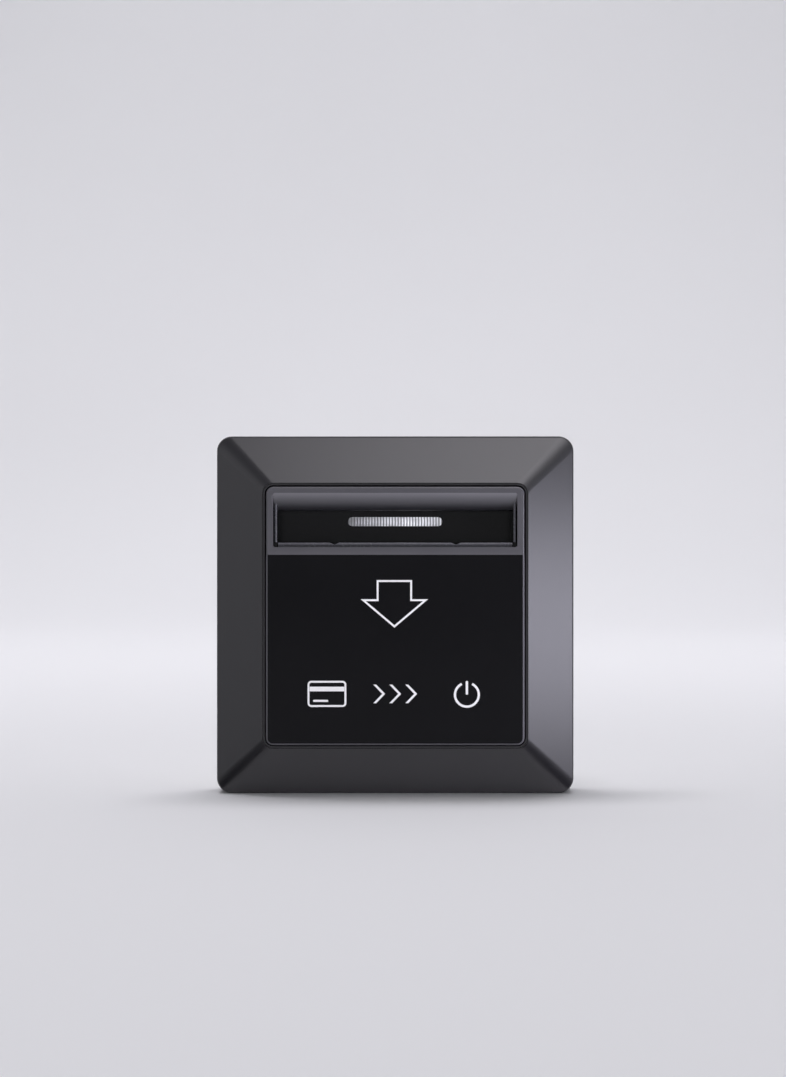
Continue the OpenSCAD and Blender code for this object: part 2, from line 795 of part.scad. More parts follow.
module base_plate() {
    head_l = fixing_slot_l - fixing_slot_w + fixing_head_w;
    color("#e6e6e2") hung() difference() {
        union() {
            slab(2 * base_half, 2 * base_half, base_r, 0, base_t);
            four(post_x, post_x) rod(post_r + post_fit + socket_wall, base_t - join, socket_top);
        }
        cross(0, -1, base_t + 1);
        slab(rear_w + 2 * rear_fit, rear_h + 2 * rear_fit, rear_r + rear_fit, -1, rear_seat);
        four(post_x, post_x) rod(post_r + post_fit, socket_floor, socket_top + 1);
        fixing_slots(fixing_slot_l, fixing_slot_w, -1, base_t + 1);
        fixing_slots(head_l, fixing_head_w, base_t - fixing_head_d, base_t + 1);
        four(column_x, column_y) {
            rod(plate_hole_r, -1, base_t + 1);
            translate([0, 0, plate_cone_low])
                cylinder(r1 = plate_hole_r, r2 = plate_head_r + screw_room, h = base_t - plate_cone_low);
        }
    }
}

module rear_housing() {
    in_w = rear_w - 2 * rear_wall;
    in_h = rear_h - 2 * rear_wall;
    color("#e2e2de") hung() difference() {
        union() {
            difference() {
                slab(rear_w, rear_h, rear_r, -rear_d, rear_seat);
                slab(in_w, in_h, rear_r - rear_wall, rear_floor, rear_seat + 1);
            }
            four(column_x, column_y) rod(column_r, rear_seat - column_l, rear_seat);
            board_places() rod(spacer_r, rear_floor - join, power_back);
        }
        block(-terminal_half - terminal_gap, terminal_half + terminal_gap, -rear_h,
            terminal_top + terminal_gap, -rear_d - 1, power_back + terminal_gap);
        four(column_x, column_y)
            rod(plate_screw_r + screw_fit, plate_screw_tip - tip_room, rear_seat + 1);
        board_places() rod(board_pilot_r, reader_face - board_screw_l - tip_room, power_back + 1);
    }
}

module plate_screws() {
    top = base_t - plate_head_sink;
    cone = top - plate_cone_low;
    color("#b4b4b8") hung() four(column_x, column_y) difference() {
        union() {
            translate([0, 0, plate_cone_low]) cylinder(r1 = plate_screw_r, r2 = plate_head_r, h = cone);
            rod(plate_screw_r, plate_screw_tip, plate_cone_low + eps);
        }
        block(-plate_head_r, plate_head_r, -drive_w / 2, drive_w / 2, top - cone / 2, top + 1);
    }
}

module reader_board() {
    color("#1f5a38") hung() difference() {
        cross(board_gap, reader_back, reader_face);
        board_places() rod(board_hole_r, reader_back - 1, reader_face + 1);
    }
}

module antenna_coil() {
    color("#b8692f") hung() translate([0, -coil_low, 0]) difference() {
        slab(coil_w, coil_h, coil_r, reader_face, reader_face + coil_t);
        slab(coil_w - 2 * coil_band, coil_h - 2 * coil_band, coil_r - coil_band, reader_face - 1,
            reader_face + coil_t + 1);
    }
}

module indicator_leds() {
    color("#f2f2ea") hung() for (sx = [-1, 1]) translate([sx * led_x, lens_y, 0])
        block(-led_l / 2, led_l / 2, -led_w / 2, led_w / 2, reader_face, reader_face + led_h);
}

module reader_chip() {
    y = (lens_y - led_w / 2 + coil_h / 2 - coil_low) / 2;
    color("#202022") hung() translate([0, y, 0])
        block(-reader_chip_w / 2, reader_chip_w / 2, -reader_chip_w / 2, reader_chip_w / 2,
            reader_face, reader_face + chip_t);
}

module controller_chip() {
    color("#202022") hung() translate([-controller_x, -coil_low, 0])
        block(-controller_w / 2, controller_w / 2, -controller_w / 2, controller_w / 2,
            reader_back - chip_t, reader_back);
}

module board_header() {
    color("#141416") hung() translate([header_x, -coil_low, 0])
        block(-header_l / 2, header_l / 2, -header_w / 2, header_w / 2, power_face, reader_back);
}

module power_board() {
    x = rear_w / 2 - rear_wall - board_gap;
    y = rear_h / 2 - rear_wall - board_gap;
    color("#1f5a38") hung() difference() {
        union() {
            block(-x, x, -column_in_y + board_gap, column_in_y - board_gap, power_back, power_face);
            block(-column_in_x + board_gap, column_in_x - board_gap, -y, y, power_back, power_face);
        }
        board_places() rod(board_hole_r, power_back - 1, power_face + 1);
    }
}

module board_spacers() {
    color("#d9d9d4") hung() board_places() difference() {
        rod(spacer_r, power_face, reader_back);
        rod(board_hole_r, power_face - 1, reader_back + 1);
    }
}

module board_screws() {
    color("#b4b4b8") hung() board_places() difference() {
        union() {
            rod(board_head_r, reader_face, reader_face + board_head_h);
            rod(board_screw_r, reader_face - board_screw_l, reader_face + eps);
        }
        block(-board_head_r, board_head_r, -drive_w / 2, drive_w / 2,
            reader_face + board_head_h / 2, reader_face + board_head_h + 1);
    }
}

// Places the relay on the power board, with its height pointing away from the front.
module on_board(x, y) {
    hung() translate([x, y, power_back]) rotate([180, 0, 0]) children();
}

module relay_base() {
    color("#2a2a2c") on_board(0, relay_y)
        block(-relay_in_l, relay_in_l, -relay_in_w, relay_in_w, 0, relay_base_t);
}

module relay_yoke() {
    color("#9a9aa0") on_board(0, relay_y) difference() {
        union() {
            block(yoke_x, yoke_x + yoke_t, -yoke_w / 2, yoke_w / 2, relay_base_t, yoke_top);
            block(yoke_x, coil_x + bobbin_r, -yoke_w / 2, yoke_w / 2, relay_base_t, bobbin_low);
        }
        translate([bead_x, 0, bead_z]) rotate([90, 0, 0])
            cylinder(r = bead_r + bead_fit, h = yoke_w + 1, center = true);
    }
}

module relay_core() {
    color("#8d8d93") on_board(0, relay_y) translate([coil_x, 0, 0]) rod(core_r, bobbin_low, pole_z);
}

module relay_bobbin() {
    color("#e8e4d4") on_board(0, relay_y) translate([coil_x, 0, 0]) difference() {
        union() {
            rod(bobbin_r, bobbin_low, bobbin_low + bobbin_flange);
            rod(core_r + bobbin_wall, bobbin_low, bobbin_top);
            rod(bobbin_r, bobbin_top - bobbin_flange, bobbin_top);
        }
        rod(core_r + screw_fit, bobbin_low - 1, bobbin_top + 1);
    }
}

module relay_winding() {
    color("#b5682c") on_board(0, relay_y) translate([coil_x, 0, 0]) difference() {
        rod(winding_r, bobbin_low + bobbin_flange, bobbin_top - bobbin_flange);
        rod(core_r + bobbin_wall, bobbin_low, bobbin_top);
    }
}

module relay_armature() {
    color("#a5a5aa") on_board(0, relay_y) {
        block(yoke_x - armature_heel, coil_x + core_r + armature_over, -yoke_w / 2, yoke_w / 2,
            armature_low, armature_top);
        translate([bead_x, 0, bead_z]) rotate([90, 0, 0]) cylinder(r = bead_r, h = yoke_w, center = true);
    }
}

module relay_contact_arm() {
    color("#c98a45") on_board(0, relay_y) {
        block(bead_x, contact_x + contact_r + arm_end, -arm_w / 2, arm_w / 2, armature_top, arm_top);
        translate([contact_x, 0, 0]) rod(contact_r, armature_top - contact_h, armature_top + eps);
    }
}

module relay_fixed_contact() {
    back = relay_in_l - bracket_gap;
    color("#c98a45") on_board(0, relay_y) {
        block(back - bracket_t, back, -arm_w / 2, arm_w / 2, relay_base_t, button_low);
        block(contact_x - contact_r, back, -arm_w / 2, arm_w / 2, button_low - bracket_t, button_low);
        translate([contact_x, 0, 0]) rod(contact_r, button_low - eps, button_top);
    }
}

module relay_cover() {
    l = relay_l / 2 - relay_wall;
    w = relay_w / 2 - relay_wall;
    color("#1d4f8c") on_board(0, relay_y) difference() {
        block(-relay_l / 2, relay_l / 2, -relay_w / 2, relay_w / 2, 0, relay_h);
        block(-l, l, -w, w, -1, relay_h - relay_wall);
    }
}

module transformer() {
    color("#d8b93a") on_board(transformer_x, supply_y + transformer_w / 2)
        block(-transformer_l / 2, transformer_l / 2, -transformer_w / 2, transformer_w / 2, 0, transformer_h);
}

module film_capacitor() {
    color("#d9a13b") on_board(film_x, supply_y + film_w / 2)
        block(-film_l / 2, film_l / 2, -film_w / 2, film_w / 2, 0, film_h);
}

module electrolytic_capacitor() {
    color("#24262e") on_board(-strip_x, relay_y) rod(electrolytic_r, 0, electrolytic_h);
}

module varistor() {
    color("#2c5f9e") on_board(strip_x, relay_y + varistor_r) translate([0, 0, varistor_r]) rotate([0, 90, 0])
        cylinder(r = varistor_r, h = varistor_t, center = true);
}

module fuse() {
    color("#c9c9c2") on_board(strip_x, relay_y - relay_room - fuse_l / 2) translate([0, 0, fuse_r])
        rotate([90, 0, 0]) cylinder(r = fuse_r, h = fuse_l, center = true);
}

module terminal_block() {
    color("#2f6b45") hung() difference() {
        block(-terminal_half, terminal_half, terminal_low, terminal_top, -rear_d, power_back);
        terminal_places() {
            block(-cell_w / 2, cell_w / 2, cell_low, clamp_low + clamp_l + clamp_fit, cell_back,
                power_back + 1);
            block(-entry_w / 2, entry_w / 2, terminal_low - 1, cell_low + 1, entry_z - entry_w / 2,
                entry_z + entry_w / 2);
            translate([0, clamp_low + clamp_l / 2, 0])
                rod(terminal_head_r + screw_room, -rear_d - 1, cell_back + 1);
        }
    }
}

module terminal_clamps() {
    color("#c8a24c") hung() terminal_places() {
        difference() {
            block(-clamp_w / 2, clamp_w / 2, clamp_low, clamp_low + clamp_l, clamp_back, clamp_front);
            block(-clamp_w / 2 + clamp_wall, clamp_w / 2 - clamp_wall, clamp_low - 1, clamp_low + clamp_l + 1,
                clamp_back + clamp_wall, clamp_front - clamp_wall);
            translate([0, clamp_low + clamp_l / 2, 0])
                rod(terminal_screw_r + screw_fit, clamp_back - 1, clamp_back + clamp_wall + 1);
        }
        block(-tail_w / 2, tail_w / 2, clamp_low + clamp_l - clamp_wall, clamp_low + clamp_l,
            clamp_front - eps, power_back);
    }
}

module terminal_screws() {
    color("#c4c4c8") hung() terminal_places() translate([0, clamp_low + clamp_l / 2, 0])
        screw_up(terminal_screw_r, terminal_head_r, terminal_head_h, terminal_screw_z,
            clamp_back + clamp_wall + terminal_bite);
}

front_frame();
centre_cover();
front_panel();
card_guide();
card_tray();
indicator_lens();
front_screws();
base_plate();
rear_housing();
plate_screws();
reader_board();
antenna_coil();
indicator_leds();
reader_chip();
controller_chip();
board_header();
power_board();
board_spacers();
board_screws();
relay_base();
relay_yoke();
relay_core();
relay_bobbin();
relay_winding();
relay_armature();
relay_contact_arm();
relay_fixed_contact();
relay_cover();
film_capacitor();
electrolytic_capacitor();
transformer();
varistor();
fuse();
terminal_block();
terminal_clamps();
terminal_screws();
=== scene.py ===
import math

import bmesh
import bpy
from mathutils import Matrix, Vector


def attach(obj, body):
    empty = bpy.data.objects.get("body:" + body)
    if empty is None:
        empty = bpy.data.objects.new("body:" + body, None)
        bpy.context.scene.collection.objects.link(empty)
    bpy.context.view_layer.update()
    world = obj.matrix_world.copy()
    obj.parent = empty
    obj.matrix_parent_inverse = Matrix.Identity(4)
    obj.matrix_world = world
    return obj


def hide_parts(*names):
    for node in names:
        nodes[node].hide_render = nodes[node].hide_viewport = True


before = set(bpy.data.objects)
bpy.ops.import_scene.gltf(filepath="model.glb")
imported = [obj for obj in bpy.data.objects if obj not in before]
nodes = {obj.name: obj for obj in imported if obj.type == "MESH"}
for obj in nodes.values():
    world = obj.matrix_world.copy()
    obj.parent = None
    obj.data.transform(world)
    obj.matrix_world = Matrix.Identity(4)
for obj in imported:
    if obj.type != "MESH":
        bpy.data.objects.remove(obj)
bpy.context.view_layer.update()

# Pieces are drawn in millimetres, lying on their backs: x to the right, y up the wall, z out of the wall.
# hang() then stands them up in the frame, where the front faces -Y and the wall is the plane Y = 0.
MM = 0.001

# How near two places have to be to count as one, and how straight a face has to look to count as level
CLOSE = 0.01
STRAIGHT = 0.9

# How far a cutting block runs past what it cuts, how far fused blocks overlap, and the least gap
PAST = 1.0
OVERLAP = 0.5
GAP = 0.05

# Front frame: half widths, heights above the wall and small roundings
HALF = 43.0
CORNER_R = 3.6
EDGE = 9.2
EDGE_ROUND = 0.6
CREST = 15.6
CREST_HALF = 31.6
CREST_ROUND = 0.08
CREST_NEAR = 0.1
GROOVE_HALF = 31.24
GROOVE_DEPTH = 0.5
OPENING_HALF = 31.0
COLLAR_END = 9.4
COLLAR_HALF = 32.4
RIM = 0.2
INSIDE = 41.0
BEVEL_TAN = (CREST - EDGE) / (HALF - CREST_HALF)
BEVEL_LONG = math.sqrt(1 + BEVEL_TAN * BEVEL_TAN)
WALL = 2.0

# The frame's posts and screw bosses, and the notch where a screwdriver lifts it off
POST = 36.0
POST_R = 2.0
POST_END = 1.0
POST_ROUND = 0.4
POST_SUNK = 0.6
SCREW_X = 33.2
SCREW_Y = 20.0
BORE_R = 1.15
BORE_END = 12.6
PRY_HALF = 4.5
PRY_TOP = 1.6
PRY_R = 0.3

# Cover
COVER_HALF = 30.7
COVER_R = 1.7
COVER_FACE = 15.8
COVER_BACK = 14.8
COVER_INSIDE = 29.8
COVER_ROUND = 0.45
INSIDE_R = 0.8
FLANGE_BACK = 8.0
FLANGE_HALF = 32.7
FLANGE_R = 3.7
TAB_R = 2.6
TAB_ROOT = 0.4
HOLE_R = 1.3
WINDOW_HALF = 29.0
WINDOW_TOP = 29.2
WINDOW_R = 0.5
WINDOW_ROUND = 0.3
BAR_TOP = 16.3
BAR_LOW = 14.5
BEAD_HALF = 30.2
BEAD_TALL = 0.5
BEAD_SUNK = 0.4
BEAD_RISE = 0.13
BEAD_DROP = 0.14

# Panel
PANEL_FACE = 15.97
PANEL_CUT = 0.42

# Guide and tray
GUIDE_BACK = 14.2
LIP_TOP = 17.4
LIP_HALF = 27.9
LIP_ROUND = 0.28
LIP_GROOVE_TOP = BAR_TOP + 0.5
LIP_GROOVE_DEPTH = 0.45
NOTCH_X = 14.45
NOTCH_HALF = 1.3
NOTCH_DEPTH = 0.5
TRAY_HALF = 29.75
TRAY_BACK = 4.4
TRAY_FLOOR = 5.6
TOP_ROOT = TRAY_BACK + 1.0
EAR_BACK = 6.6
POCKET_LOW = -28.05
SCOOP_LOW = 15.85
RIB_HALF = 0.6
RIB_LOW = POCKET_LOW + 0.3
RIB_BACK = 6.8
RIB_FACE = GUIDE_BACK + 0.1

# Roll over the window, and the cheeks and slits at its ends
ROLL_R = 4.2
ROLL_LOW = WINDOW_TOP - ROLL_R
ROLL_BACK = COVER_FACE - ROLL_R
ROLL_FACE = COVER_FACE - GAP
ROLL_ROUND = ROLL_R - 0.06
ROLL_ROOT = 29.5
CHEEK_IN = 28.1
CHEEK_OUT = 28.72
CHEEK_LOW = LIP_TOP + 0.1
CHEEK_TOP = ROLL_LOW + 2.4
CHEEK_BACK = 13.6
CHEEK_FACE = 15.0
CHEEK_ROUND = 0.22
SLIT_OUT = WINDOW_HALF + 0.02
SLIT_TOP = WINDOW_TOP - 0.9
SLIT_BACK = 7.0

# Lens
LENS_Y = 22.45
LENS_L = 22.7
LENS_H = 2.0
LENS_GAP = 0.2
LENS_BACK = 3.4
LENS_FACE = TRAY_FLOOR + 0.3
LENS_FIELD = TRAY_FLOOR - 0.1
LENS_ROUND = 0.15
LENS_LINE = 0.35
LENS_BRIM = 1.2
LENS_PITCH = 0.71
LENS_RIBS = 28
LENS_RIB_R = 0.26
LENS_RIB_L = 1.5
LENS_RIB_ROUND = 0.12

# Printed arrow
PRINT_BACK = PANEL_FACE - 0.01
PRINT_FACE = 16.0
INK = 0.45
ARROW_X = -0.2
ARROW_TOP = 8.5
ARROW_WING = 3.95
ARROW_TIP = -2.8
SHAFT_HALF = 4.2
WING_HALF = 8.0

# Printed row of signs: a card, chevrons and a power ring
ROW_LOW = -21.6
ROW_HIGH = -15.4
CARD_LEFT = -20.8
CARD_RIGHT = -11.6
CARD_R = 0.9
CHEVRON_X = (-5.2, -1.4, 2.4)
CHEVRON_HALF = 2.2
CHEVRON_REACH = 2.1
CHEVRON_INK = 0.7
POWER_X = 17.0
POWER_R = 3.1
POWER_DROP = 0.2
POWER_INK = 0.55
POWER_GAP = 1.35
POWER_BAR = 0.28

# What stands on the reader board
BOARD_FACE = 2.0
COIL_HALF = 15.5
COIL_LOW = -22.0
COIL_HIGH = 12.0
COIL_R = 5.5
COIL_TALL = 0.9
COIL_TURNS = 9
COIL_WIRE = 0.5
LAMP_X = 6.0
LAMP_Y = 22.3
LAMP_HALF_X = 1.75
LAMP_HALF_Y = 1.4
LAMP_R = 0.2
LAMP_FACE = 3.1
WELL_R = 1.2
WELL_DEPTH = 0.35
FILLING_R = 1.19
FILLING_BACK = LAMP_FACE - 0.4
FILLING_FACE = LAMP_FACE - 0.12
CHIP_Y = 16.45
CHIP_HALF = 2.5
CHIP_FACE = 3.0

# Bare field on the back of the housing
HOUSING_BACK = -26.0
FIELD_HALF = 19.0
FIELD_LOW = -12.0
FIELD_HIGH = 22.0
FIELD_R = 2.0
FIELD_DEPTH = 0.3


def deselect():
    bpy.ops.object.select_all(action="DESELECT")


def take(piece):
    """Makes one piece the only one that is selected and active."""
    deselect()
    piece.select_set(True)
    bpy.context.view_layer.objects.active = piece


def settle():
    """Works the selected piece's place, turn and size into its mesh."""
    bpy.ops.object.transform_apply(location=True, rotation=True, scale=True)


def started(name, scale=(1, 1, 1)):
    """Names the primitive that was just added and settles its size."""
    piece = bpy.context.object
    piece.name = name
    piece.data.name = name
    piece.scale = scale
    settle()
    return piece


def block(name, x0, x1, y0, y1, z0, z1):
    deselect()
    middle = ((x0 + x1) / 2, (y0 + y1) / 2, (z0 + z1) / 2)
    bpy.ops.mesh.primitive_cube_add(size=1, location=middle)
    return started(name, (x1 - x0, y1 - y0, z1 - z0))


def rod(name, r, z0, z1, x=0.0, y=0.0, sides=48):
    deselect()
    bpy.ops.mesh.primitive_cylinder_add(
        vertices=sides, radius=r, depth=z1 - z0, location=(x, y, (z0 + z1) / 2)
    )
    return started(name)


def edit(piece):
    take(piece)
    bpy.ops.object.mode_set(mode="EDIT")


def done():
    bpy.ops.object.mode_set(mode="OBJECT")


def pick(piece, kind, test):
    """In edit mode, selects the vertices, edges or faces that pass the test, and counts them."""
    bpy.ops.mesh.select_mode(type=kind)
    bpy.ops.mesh.select_all(action="DESELECT")
    mesh = bmesh.from_edit_mesh(piece.data)
    items = {"VERT": mesh.verts, "EDGE": mesh.edges, "FACE": mesh.faces}[kind]
    found = [item for item in items if test(item)]
    for item in found:
        item.select_set(True)
    mesh.select_flush_mode()
    bmesh.update_edit_mesh(piece.data)
    return len(found)


def near(a, b):
    return abs(a - b) < CLOSE


def mid(edge):
    return (edge.verts[0].co + edge.verts[1].co) / 2


def level(edge, z):
    return all(near(v.co.z, z) for v in edge.verts)


def upright(edge):
    a, b = (v.co for v in edge.verts)
    return near(a.x, b.x) and near(a.y, b.y)


def reach(point):
    return max(abs(point.x), abs(point.y))


def looks_up(face):
    return face.normal.z > STRAIGHT


def looks_down(face):
    return face.normal.z < -STRAIGHT


def turn_outwards():
    """In edit mode, makes all faces point outwards."""
    bpy.ops.mesh.select_all(action="SELECT")
    bpy.ops.mesh.normals_make_consistent(inside=False)


def round_edges(width, segments):
    bpy.ops.mesh.bevel(offset=width, offset_type="OFFSET", segments=segments, profile=0.5, affect="EDGES")


def round_where(piece, test, width, segments):
    """Rounds the edges that pass the test."""
    edit(piece)
    pick(piece, "EDGE", test)
    round_edges(width, segments)
    done()


def rounded_block(name, x0, x1, y0, y1, z0, z1, r, segments=6, where=None):
    """A block whose upright edges are rounded, all of them or those that where() picks."""
    piece = block(name, x0, x1, y0, y1, z0, z1)
    round_where(piece, lambda e: upright(e) and (where is None or where(mid(e))), r, segments)
    return piece


def stadium(name, l, w, y, z0, z1):
    """A bar with round ends, which stay a hair short of half circles so that their roundings don't meet."""
    return rounded_block(name, -l / 2, l / 2, y - w / 2, y + w / 2, z0, z1, w / 2 - 0.001, 12)


def wedge(name, x0, x1, y0, y1, z0, z1, collapse):
    """A block with one of its faces drawn together to a line, for ribs and V notches."""
    piece = block(name, x0, x1, y0, y1, z0, z1)
    edit(piece)
    collapse(piece)
    bpy.ops.mesh.select_all(action="SELECT")
    bpy.ops.mesh.remove_doubles(threshold=0.001)
    turn_outwards()
    done()
    return piece


def draw_out(dz, factor=1.0):
    """Extrudes the selected face along z, and widens it about the middle."""
    bpy.ops.mesh.extrude_region_move(TRANSFORM_OT_translate={"value": (0, 0, dz)})
    if factor != 1.0:
        bpy.ops.transform.resize(value=(factor, factor, 1), center_override=(0, 0, 0))


def open_through(piece, z):
    """Opens a hollow that was drawn in as far as the back at z, and closes the ring round it."""
    bpy.ops.mesh.delete(type="ONLY_FACE")
    pick(piece, "FACE", lambda f: looks_down(f) and len(f.verts) > 8)
    bpy.ops.mesh.delete(type="ONLY_FACE")
    pick(piece, "EDGE", lambda e: level(e, z))
    bpy.ops.mesh.bridge_edge_loops()


def apply_all(piece):
    take(piece)
    for modifier in list(piece.modifiers):
        bpy.ops.object.modifier_apply(modifier=modifier.name)


def combine(piece, operation, *tools):
    """Adds the tools to the piece or cuts them out of it, and removes them."""
    for tool in tools:
        modifier = piece.modifiers.new("shape", "BOOLEAN")
        modifier.operation = operation
        modifier.solver = "EXACT"
        modifier.object = tool
        apply_all(piece)
        bpy.data.objects.remove(tool, do_unlink=True)
    return piece


def join(piece, *others):
    deselect()
    for other in others:
        other.select_set(True)
    piece.select_set(True)
    bpy.context.view_layer.objects.active = piece
    bpy.ops.object.join()
    return piece


def shift(piece, dx, dy):
    take(piece)
    piece.location = (dx, dy, 0)
    settle()


def copy_of(piece, dx=0.0, dy=0.0, flip_x=False):
    """A copy with its own mesh, moved or mirrored left to right."""
    twin = piece.copy()
    twin.data = piece.data.copy()
    bpy.context.scene.collection.objects.link(twin)
    if flip_x:
        twin.scale = (-1, 1, 1)
    shift(twin, dx, dy)
    if flip_x:
        edit(twin)
        turn_outwards()
        done()
    return twin


def four(piece, x, y):
    """Copies a piece drawn at the middle to four places and joins the copies to it."""
    others = [copy_of(piece, dx, dy) for dx, dy in ((-x, -y), (x, -y), (-x, y))]
    shift(piece, x, y)
    return join(piece, *others)


def ease(piece, width, segments=2, angle=40.0):
    """Rounds every edge sharper than the angle by a small width."""
    modifier = piece.modifiers.new("edges", "BEVEL")
    modifier.width = width
    modifier.segments = segments
    modifier.limit_method = "ANGLE"
    modifier.angle_limit = math.radians(angle)
    modifier.miter_outer = "MITER_ARC"
    apply_all(piece)


def smooth(piece, angle=35.0):
    """Smooth shading over the rounded edges, with the large faces kept flat."""
    take(piece)
    bpy.ops.object.shade_smooth_by_angle(angle=math.radians(angle))
    modifier = piece.modifiers.new("normals", "WEIGHTED_NORMAL")
    modifier.keep_sharp = True
    apply_all(piece)


def hang(piece):
    """Stands a piece up against the wall, in metres."""
    take(piece)
    piece.rotation_euler = (math.pi / 2, 0, 0)
    piece.scale = (MM, MM, MM)
    settle()


def coat(piece, finish):
    piece.data.materials.clear()
    piece.data.materials.append(finish)


def fit(piece, body, slot, finish, *replaced):
    """Gives a finished piece its material and body, and hides the nodes that it stands for; its slot is not
    used.
    """
    coat(piece, finish)
    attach(piece, body)
    if replaced:
        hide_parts(*replaced)


def dress(body, made):
    """Hangs up the pieces of one body, shades them and fits them."""
    for piece, angle, slot, finish, replaced in made:
        hang(piece)
        smooth(piece, angle)
        fit(piece, body, slot, finish, *replaced)


def slope(x):
    """The height of the frame's sloping side at a distance x from the middle."""
    return EDGE + (HALF - x) * BEVEL_TAN


def make_frame():
    shell = rounded_block("frame_shell", -HALF, HALF, -HALF, HALF, RIM, EDGE, CORNER_R, 8)
    ceiling_in = slope(COLLAR_HALF) - WALL * BEVEL_LONG
    ceiling_out = slope(INSIDE) - WALL * BEVEL_LONG
    edit(shell)
    pick(shell, "FACE", looks_up)
    draw_out(CREST - EDGE, CREST_HALF / HALF)
    draw_out(-GROOVE_DEPTH)
    bpy.ops.mesh.inset(thickness=CREST_HALF - GROOVE_HALF, depth=0)
    draw_out(GROOVE_DEPTH)
    bpy.ops.mesh.inset(thickness=GROOVE_HALF - OPENING_HALF, depth=0)
    draw_out(COLLAR_END - CREST)
    draw_out(0, COLLAR_HALF / OPENING_HALF)
    draw_out(ceiling_in - COLLAR_END)
    draw_out(ceiling_out - ceiling_in, INSIDE / COLLAR_HALF)
    draw_out(RIM - ceiling_out)
    open_through(shell, RIM)
    pick(shell, "EDGE", lambda e: level(e, EDGE) and reach(mid(e)) > INSIDE)
    round_edges(EDGE_ROUND, 4)
    pick(shell, "EDGE", lambda e: level(e, CREST) and reach(mid(e)) < OPENING_HALF + CREST_NEAR)
    round_edges(CREST_ROUND, 2)
    turn_outwards()
    done()

    post = rod("post", POST_R, POST_END, slope(POST + POST_R) - POST_SUNK)
    round_where(post, lambda e: level(e, POST_END), POST_ROUND, 2)
    boss = rod("boss", POST_R, COLLAR_END, slope(SCREW_X + POST_R) - POST_SUNK)
    combine(shell, "UNION", four(post, POST, POST), four(boss, SCREW_X, SCREW_Y))
    bore = rod("bore", BORE_R, COLLAR_END - PAST, BORE_END, sides=24)
    notch = rounded_block(
        "notch", -PRY_HALF, PRY_HALF, -HALF - PAST, -INSIDE + PAST, -PAST, PRY_TOP, PRY_R, 3
    )
    combine(shell, "DIFFERENCE", four(bore, SCREW_X, SCREW_Y), notch)
    return shell


def make_tabs(x0, z0, z1):
    """The four tabs round the front screws, from a wall at x0 outwards."""
    tab = rod("tab", TAB_R, z0, z1, SCREW_X, SCREW_Y)
    arm = block("arm", x0, SCREW_X, SCREW_Y - TAB_R, SCREW_Y + TAB_R, z0, z1)
    combine(tab, "UNION", arm)
    right = join(tab, copy_of(tab, 0, -2 * SCREW_Y))
    return join(right, copy_of(right, flip_x=True))


def make_cover():
    cover = rounded_block(
        "cover_rim", -COVER_HALF, COVER_HALF, -COVER_HALF, COVER_HALF, FLANGE_BACK, COVER_FACE, COVER_R
    )
    round_where(cover, lambda e: level(e, COVER_FACE), COVER_ROUND, 3)
    flange = rounded_block(
        "flange", -FLANGE_HALF, FLANGE_HALF, -FLANGE_HALF, FLANGE_HALF, FLANGE_BACK, COLLAR_END, FLANGE_R
    )
    tabs = make_tabs(COVER_HALF - TAB_ROOT, FLANGE_BACK, COLLAR_END)
    combine(cover, "UNION", flange, tabs)

    inside = COVER_INSIDE
    over = COVER_FACE + PAST
    hollow = rounded_block(
        "hollow", -inside, inside, -inside, inside, FLANGE_BACK - PAST, COVER_BACK, INSIDE_R
    )
    step = block("step", -HALF, HALF, -HALF, BAR_LOW, COVER_BACK, over)
    window = rounded_block(
        "window", -WINDOW_HALF, WINDOW_HALF, BAR_TOP, WINDOW_TOP, COVER_BACK - PAST, over, WINDOW_R, 4
    )
    below = block("below", -inside, inside, -inside, BAR_LOW, FLANGE_BACK, over)
    hole = rod("hole", HOLE_R, FLANGE_BACK - PAST, COLLAR_END + PAST, sides=24)
    combine(cover, "DIFFERENCE", hollow, step, window, below, four(hole, SCREW_X, SCREW_Y))

    def window_side(edge):
        across, up = mid(edge).xy
        return level(edge, COVER_FACE) and near(abs(across), WINDOW_HALF) and BAR_TOP < up < WINDOW_TOP

    round_where(cover, window_side, WINDOW_ROUND, 4)

    # A low bead along the foot of the bar leads up to the panel and catches the light from above
    bead = block(
        "bead", -BEAD_HALF, BEAD_HALF, BAR_LOW, BAR_LOW + BEAD_TALL, COVER_FACE - BEAD_SUNK,
        COVER_FACE + BEAD_RISE
    )
    edit(bead)
    pick(bead, "VERT", lambda v: v.co.y > BAR_LOW + BEAD_TALL / 2 and v.co.z > COVER_FACE)
    bpy.ops.transform.translate(value=(0, 0, -BEAD_DROP))
    done()
    combine(cover, "UNION", bead)
    ease(cover, width=0.1)
    return cover


def make_roll():
    """The roll that turns in above the card, with a slit that runs up into it at each end."""
    roll = block("cover_roll", -ROLL_ROOT, ROLL_ROOT, ROLL_LOW, ROLL_ROOT, ROLL_BACK, ROLL_FACE)
    round_where(roll, lambda e: level(e, ROLL_FACE) and near(mid(e).y, ROLL_LOW), ROLL_ROUND, 20)

    def taper(piece):
        pick(piece, "VERT", lambda v: v.co.y > ROLL_LOW)
        bpy.ops.transform.resize(value=(0, 1, 1), center_override=((CHEEK_OUT + SLIT_OUT) / 2, 0, 0))

    slit = wedge(
        "slit", CHEEK_OUT, SLIT_OUT, ROLL_LOW - PAST, SLIT_TOP, ROLL_BACK - PAST, COVER_FACE + PAST, taper
    )
    return combine(roll, "DIFFERENCE", copy_of(slit, flip_x=True), slit)


